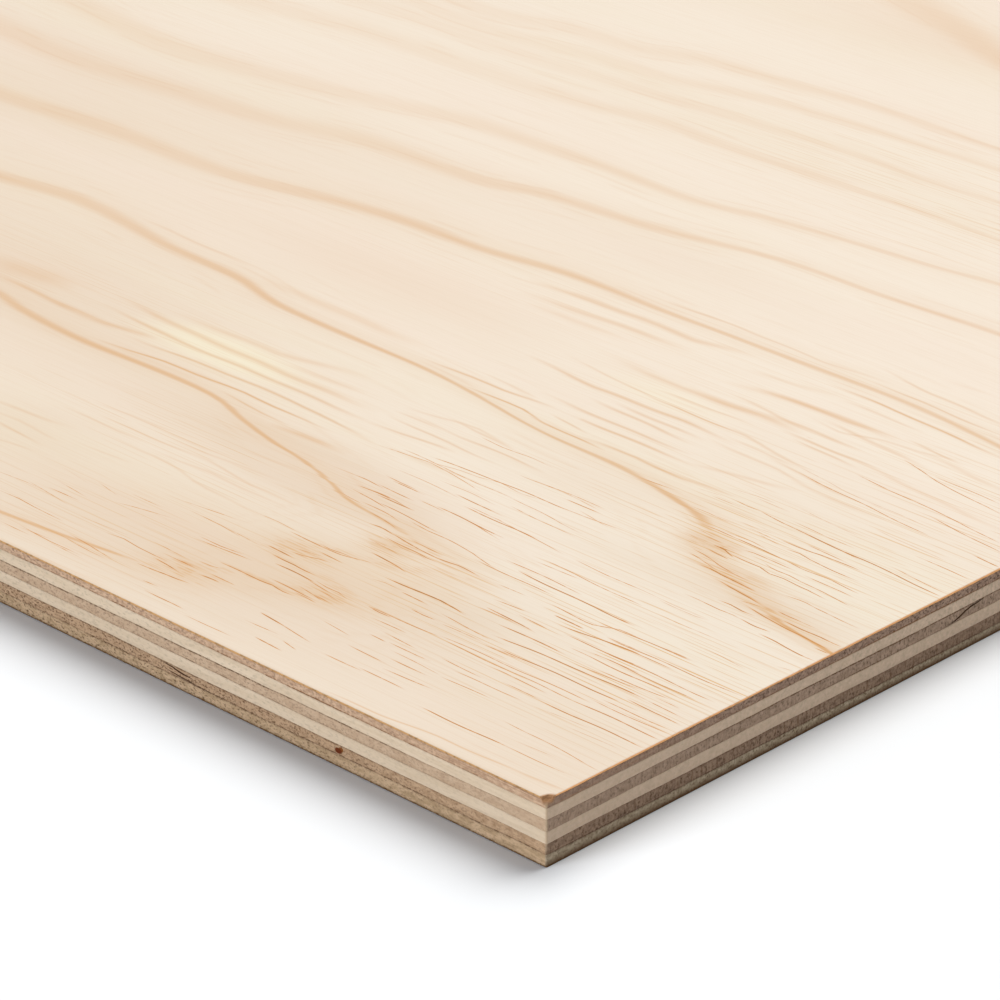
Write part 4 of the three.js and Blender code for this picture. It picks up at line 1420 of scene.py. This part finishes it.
def edge_finish(name, look, finish, veneer):
    """The finish of a ply under the face, a little different on the sides and on the ends."""
    ply = Finish(name)
    calc, times = ply.calc, ply.times
    side_grain, end_grain = ply.figure(veneer.side_grain, 2.0, 0.65), ply.figure(veneer.end_grain, 2.0, 0.65)
    speckle = ply.between(ply.attribute("sawn_end"), side_grain, end_grain)
    blotch = ply.figure(veneer.blotches, 2.0, 0.5, (2.0, 3.0, 1.0))
    colour = sawn_wood(ply, look, veneer, speckle, blotch)
    lumps = ply.figure((0.8, 0.8, 0.4), 2.0, 0.6, (4.0, 4.0, 0.0))
    ragged = times(calc("SUBTRACT", lumps, 0.5), 0.35)
    colour = glue_lines(ply, look, ragged, colour)
    if veneer.scorch:
        colour = back_underside(ply, look, veneer, ragged, colour)
    else:
        for (centre, size), wood in ((KNOT_SIDE, finish.knot_light), (KNOT_HEART, finish.knot)):
            colour = ply.blend(ply.spot(place(*centre), size), colour, rgba(wood))
        # Painted shade in the open seams: their lips and floors darkened to the glue colour
        colour = ply.blend(ply.attribute("painted_seam_shade"), colour, rgba(look.glue))
    # The pale upright corner: partly wear, partly a painted highlight
    worn = times(ply.attribute("corner_wear_and_highlight"), 0.75)
    colour = ply.blend(worn, colour, rgba(finish.corner_wear_and_highlight))
    colour = ply.blend(ply.attribute("bruise"), colour, crushed_wood(ply, finish))
    relief = calc("ADD", speckle, times(blotch, 0.5))
    return ply.wood(colour, ply.ramp(speckle, 0.3, 0.8, 0.65, 0.85), relief, 0.10)


# ---------------------------------------------------------------- settings


def colour_setting(name, description, default):
    return bpy.props.FloatVectorProperty(
        name=name, description=description, subtype="COLOR", size=3, min=0.0, max=1.0, default=default
    )


def size_setting(name, description, millimetres):
    return bpy.props.FloatProperty(
        name=name,
        description=description,
        unit="LENGTH",
        subtype="DISTANCE",
        min=0.0,
        default=millimetres * MM,
        precision=5,
    )


def share_setting(name, description, default):
    return bpy.props.FloatProperty(
        name=name, description=description, subtype="FACTOR", min=0.0, max=1.0, default=default
    )


def strength_setting(name, description, default):
    return bpy.props.FloatProperty(name=name, description=description, min=0.0, default=default)


class SheetSizes(bpy.types.PropertyGroup):
    corner_radius: size_setting("Corner radius", "Rounding of the four upright corners", 0.5)
    arris: size_setting("Arris", "Sanded edge of both outer faces", 0.25)
    glue_groove: size_setting("Glue groove", "How far a glue line stands back", 0.10)
    torn_end_grain: size_setting("Torn end grain", "Depth of torn fibres on end grain", 0.09)
    torn_long_grain: size_setting("Torn long grain", "Depth of torn fibres on long grain", 0.03)


class FaceColours(bpy.types.PropertyGroup):
    cream: colour_setting("Cream", "Early wood", (0.705, 0.612, 0.506))
    deep_cream: colour_setting("Deep cream", "Deeper early wood", (0.625, 0.502, 0.382))
    peach: colour_setting("Peach", "Warm patches of early wood", (0.640, 0.488, 0.365))
    rosy: colour_setting("Rosy", "Pinkish stretches of early wood", (0.705, 0.585, 0.490))
    straw: colour_setting("Straw", "Yellowish stretches of early wood", (0.680, 0.600, 0.465))
    pale: colour_setting("Pale", "Pale yellow patches", (0.715, 0.645, 0.485))
    ring_shade: colour_setting("Ring shade", "Soft shade beside the late wood", (0.615, 0.448, 0.302))
    late_wood: colour_setting("Late wood", "Lines of late wood", (0.565, 0.320, 0.140))
    brown_fibre: colour_setting("Brown fibre", "Fine brown fibres", (0.54, 0.25, 0.0))
    check_brown: colour_setting("Check brown", "Fine checks", (0.50, 0.185, 0.0))
    check_heart: colour_setting("Check heart", "Heart of the deepest checks", (0.27, 0.115, 0.02))
    painted_shade_tint: colour_setting("Painted shade", "Painted shade that darkens the face near the worn corner", (0.965, 0.972, 0.968))
    face_edge: colour_setting("Face edge", "Sawn edge of the face veneer", (0.62, 0.34, 0.13))
    face_end_and_highlight: colour_setting("Face end, with painted highlight", "Sawn end of the face veneer, painted brighter as a highlight", (1.0, 0.50, 0.20))
    corner_wear_and_highlight: colour_setting("Corner wear and highlight", "Upright corner, pale from wear and painted highlight", (0.60, 0.44, 0.28))
    bruise_dark: colour_setting("Bruise, dark", "Dark fibres in the bruise", (0.22, 0.095, 0.035))
    bruise_light: colour_setting("Bruise, light", "Light fibres in the bruise", (0.72, 0.39, 0.19))
    knot: colour_setting("Knot", "Pin knot in the long side", (0.13, 0.022, 0.0))
    knot_light: colour_setting("Knot, light", "Lighter wood of the pin knot", (0.22, 0.07, 0.012))


def ply_look(light, dark, end_light, end_dark, pore, streak, glue, speckle, glue_above, glue_under):
    """Settings of one sort of ply: its colours, how speckled it is and how dark its two glue lines are. On
    the back veneer the lower glue line is painted contact shade, and the glue colour also paints shade at its
    foot and in open seams.
    """
    settings = {}
    for key, name, colour in (
        ("light", "Light wood", light),
        ("dark", "Dark wood", dark),
        ("end_light", "Light wood on the ends, with painted shade", end_light),
        ("end_dark", "Dark wood on the ends, with painted shade", end_dark),
        ("pore", "Pores and torn fibres", pore),
        ("streak", "Streaks", streak),
        ("glue", "Glue line", glue),
    ):
        settings[key] = colour_setting(name, "Colour of this sort of ply", colour)
    for key, name, share in (
        ("speckle", "Speckle", speckle),
        ("glue_above", "Upper glue line", glue_above),
        ("glue_under", "Lower glue line, and painted contact shade on the back veneer", glue_under),
    ):
        settings[key] = share_setting(name, "How strongly it shows", share)
    return settings


class CorePlyLook(bpy.types.PropertyGroup):
    __annotations__ = ply_look(
        (0.714, 0.563, 0.399), (0.647, 0.497, 0.338), (0.640, 0.480, 0.350), (0.585, 0.435, 0.310),
        (0.52, 0.405, 0.285), (0.62, 0.44, 0.27), (0.40, 0.25, 0.14), 0.6, 0.2, 0.15,
    )


class UpperCrossbandLook(bpy.types.PropertyGroup):
    __annotations__ = ply_look(
        (0.621, 0.420, 0.271), (0.466, 0.290, 0.180), (0.38, 0.252, 0.176), (0.275, 0.170, 0.115),
        (0.21, 0.125, 0.08), (0.33, 0.18, 0.095), (0.20, 0.078, 0.022), 0.6, 0.3, 1.0,
    )


class CentrePlyLook(bpy.types.PropertyGroup):
    __annotations__ = ply_look(
        (0.574, 0.405, 0.266), (0.492, 0.333, 0.211), (0.42, 0.290, 0.205), (0.32, 0.215, 0.145),
        (0.24, 0.155, 0.095), (0.50, 0.33, 0.195), (0.13, 0.068, 0.03), 0.55, 0.75, 0.6,
    )


class LowerCrossbandLook(bpy.types.PropertyGroup):
    __annotations__ = ply_look(
        (0.549, 0.362, 0.217), (0.419, 0.262, 0.147), (0.33, 0.217, 0.143), (0.236, 0.149, 0.096),
        (0.15, 0.08, 0.04), (0.38, 0.23, 0.12), (0.11, 0.048, 0.022), 0.85, 0.5, 0.8,
    )


class BackVeneerLook(bpy.types.PropertyGroup):
    __annotations__ = ply_look(
        (0.611, 0.422, 0.255), (0.445, 0.298, 0.165), (0.52, 0.415, 0.285), (0.35, 0.265, 0.172),
        (0.15, 0.083, 0.04), (0.38, 0.24, 0.12), (0.12, 0.053, 0.014), 0.8, 0.3, 0.6,
    )


class StudioSettings(bpy.types.PropertyGroup):
    floor: colour_setting("Floor", "Plain pale floor", (0.779, 0.788, 0.800))
    key_colour: colour_setting("Key colour", "Slightly warm lamp", (1.0, 0.985, 0.955))
    fill_colour: colour_setting("Fill colour", "Slightly cool lamp", (0.86, 0.91, 1.0))
    sky_colour: colour_setting("Room colour", "Slightly cool light from all round", (0.84, 0.91, 1.0))
    key_strength: strength_setting("Key light", "High soft light from behind", 3.90)
    fill_strength: strength_setting("Fill light", "Low soft light on the long side", 1.87)
    sky_strength: strength_setting("Room light", "Light from all round", 0.228)


# ---------------------------------------------------------------- the stage

FLOOR_SIZE = 60.0  # half the floor's width, in metres
FLOOR_GAP = 0.02  # between the floor and the sheet, in millimetres

# Each lamp shines from this direction and covers this angle of the room, in degrees
KEY_FROM = (-0.2, 0.85, 1.2)
KEY_ANGLE = 54
FILL_FROM = (-0.3, -0.85, 0.22)
FILL_ANGLE = 24

CAMERA_PLACE = (1.8907, -1.3149, 0.5667)
CAMERA_TURN = (1.118191, 0.0, 0.771410)
SENSOR_WIDTH = 36.0
LENS_LENGTH = 176.8


def build_floor(colour):
    """A plain pale floor, a hair below the sheet."""
    bm = bmesh.new()
    bmesh.ops.create_grid(bm, x_segments=1, y_segments=1, size=FLOOR_SIZE)
    mesh = bpy.data.meshes.new("studio_floor")
    bm.to_mesh(mesh)
    bm.free()
    paper = Finish("studio_floor")
    grey = paper.ramp(paper.figure((900, 900, 900)), 0.0, 1.0, 0.97, 1.0)
    tint = paper.blend(1.0, rgba(colour), grey, "MULTIPLY")
    shader = paper.step("ShaderNodeBsdfPrincipled", [("Base Color", tint), ("Roughness", 0.9)])
    paper.step("ShaderNodeOutputMaterial", [("Surface", shader.outputs[0])])
    mesh.materials.append(paper.material)
    floor = bpy.data.objects.new("studio_floor", mesh)
    floor.location.z = SHEET_LOW.z - FLOOR_GAP * MM
    bpy.context.scene.collection.objects.link(floor)


def soft_sun(name, direction, strength, spread, colour):
    """A broad, even light shining from a direction."""
    light = bpy.data.lights.new(name, "SUN")
    light.energy = strength
    light.angle = math.radians(spread)
    light.color = colour
    lamp = bpy.data.objects.new(name, light)
    lamp.rotation_euler = Vector(direction).to_track_quat("Z", "Y").to_euler()
    bpy.context.scene.collection.objects.link(lamp)


def build_room(colour, strength):
    """Even light from all round, with a white backdrop behind the floor."""
    world = bpy.data.worlds.new("studio_room")
    world.use_nodes = True
    nodes, links = world.node_tree.nodes, world.node_tree.links
    nodes.clear()
    pick = nodes.new("ShaderNodeMixShader")
    links.new(nodes.new("ShaderNodeLightPath").outputs["Is Camera Ray"], pick.inputs[0])
    for number, (shade, power) in enumerate(((colour, strength), ((1.0, 1.0, 1.0), 1.0)), start=1):
        background = nodes.new("ShaderNodeBackground")
        background.inputs["Color"].default_value = rgba(shade)
        background.inputs["Strength"].default_value = power
        links.new(background.outputs[0], pick.inputs[number])
    links.new(pick.outputs[0], nodes.new("ShaderNodeOutputWorld").inputs["Surface"])
    bpy.context.scene.world = world


def build_camera():
    lens = bpy.data.cameras.new("camera")
    lens.sensor_width = SENSOR_WIDTH
    lens.lens = LENS_LENGTH
    camera = bpy.data.objects.new("camera", lens)
    camera.location = CAMERA_PLACE
    camera.rotation_euler = CAMERA_TURN
    bpy.context.scene.collection.objects.link(camera)
    bpy.context.scene.camera = camera


# ---------------------------------------------------------------- operators


class SHEET_OT_back_veneer(bpy.types.Operator):
    """Build the back veneer with its lower arris"""

    bl_idname = "plywood.back_veneer"
    bl_label = "Back veneer"

    def execute(self, context):
        scene = context.scene
        piece = build_ply("back_veneer", scene.sheet_sizes)
        look = edge_finish("sawn_back_veneer", scene.back_veneer_look, scene.face_colours, BACK)
        dress(piece, "back_veneer", look)
        return {"FINISHED"}


class SHEET_OT_crossbands(bpy.types.Operator):
    """Build the three dark plies that run across the sheet, with their open laps"""

    bl_idname = "plywood.crossbands"
    bl_label = "Crossbands"

    def execute(self, context):
        scene = context.scene
        for ply, look, veneer in (
            ("lower_crossband", scene.lower_crossband_look, CROSSBAND),
            ("centre_ply", scene.centre_ply_look, CROSSBAND),
            ("upper_crossband", scene.upper_crossband_look, UPPER_CROSSBAND),
        ):
            piece = build_ply(ply, scene.sheet_sizes)
            dress(piece, ply, edge_finish("sawn_" + ply, look, scene.face_colours, veneer))
        return {"FINISHED"}


class SHEET_OT_core_plies(bpy.types.Operator):
    """Build the two pale core plies that run along the sheet"""

    bl_idname = "plywood.core_plies"
    bl_label = "Core plies"

    def execute(self, context):
        scene = context.scene
        look = edge_finish("sawn_core_ply", scene.core_ply_look, scene.face_colours, CORE)
        for ply in ("lower_core_ply", "upper_core_ply"):
            dress(build_ply(ply, scene.sheet_sizes), ply, look)
        return {"FINISHED"}


class SHEET_OT_face_veneer(bpy.types.Operator):
    """Build the sanded face veneer with its figure, checks and bruised corner"""

    bl_idname = "plywood.face_veneer"
    bl_label = "Face veneer"

    def execute(self, context):
        scene = context.scene
        piece = build_face(scene.sheet_sizes)
        dress(piece, "face_veneer", face_finish(scene.face_colours))
        return {"FINISHED"}


class SHEET_OT_stage(bpy.types.Operator):
    """Lay the pale floor and set up the lights and the camera"""

    bl_idname = "plywood.stage"
    bl_label = "Floor, lights and camera"

    def execute(self, context):
        scene = context.scene
        studio = scene.studio_settings
        build_floor(studio.floor)
        soft_sun("key_light", KEY_FROM, studio.key_strength, KEY_ANGLE, studio.key_colour)
        soft_sun("fill_light", FILL_FROM, studio.fill_strength, FILL_ANGLE, studio.fill_colour)
        build_room(studio.sky_colour, studio.sky_strength)
        build_camera()
        scene.view_settings.view_transform = "Standard"
        scene.view_settings.look = "None"
        return {"FINISHED"}


class SHEET_PT_sidebar(bpy.types.Panel):
    """Sizes, colours and the steps that build the sheet"""

    bl_idname = "SHEET_PT_sidebar"
    bl_label = "Plywood sheet"
    bl_space_type = "VIEW_3D"
    bl_region_type = "UI"
    bl_category = "Plywood"

    def draw(self, context):
        layout = self.layout
        for operator in OPERATORS:
            layout.operator(operator.bl_idname)
        for name in SETTINGS:
            group = getattr(context.scene, name)
            box = layout.box()
            box.label(text=name.replace("_", " ").capitalize())
            for setting in group.__annotations__:
                box.prop(group, setting)


OPERATORS = (
    SHEET_OT_stage,
    SHEET_OT_back_veneer,
    SHEET_OT_crossbands,
    SHEET_OT_core_plies,
    SHEET_OT_face_veneer,
)

SETTINGS = {
    "sheet_sizes": SheetSizes,
    "face_colours": FaceColours,
    "core_ply_look": CorePlyLook,
    "upper_crossband_look": UpperCrossbandLook,
    "centre_ply_look": CentrePlyLook,
    "lower_crossband_look": LowerCrossbandLook,
    "back_veneer_look": BackVeneerLook,
    "studio_settings": StudioSettings,
}


def register():
    for group in SETTINGS.values():
        bpy.utils.register_class(group)
    for operator in OPERATORS:
        bpy.utils.register_class(operator)
    bpy.utils.register_class(SHEET_PT_sidebar)
    for name, group in SETTINGS.items():
        setattr(bpy.types.Scene, name, bpy.props.PointerProperty(type=group))


def unregister():
    for name in SETTINGS:
        delattr(bpy.types.Scene, name)
    bpy.utils.unregister_class(SHEET_PT_sidebar)
    for operator in reversed(OPERATORS):
        bpy.utils.unregister_class(operator)
    for group in reversed(SETTINGS.values()):
        bpy.utils.unregister_class(group)


def main():
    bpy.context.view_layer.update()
    register()
    bpy.ops.plywood.stage()
    bpy.ops.plywood.back_veneer()
    bpy.ops.plywood.crossbands()
    bpy.ops.plywood.core_plies()
    bpy.ops.plywood.face_veneer()


if __name__ == "__main__":
    main()
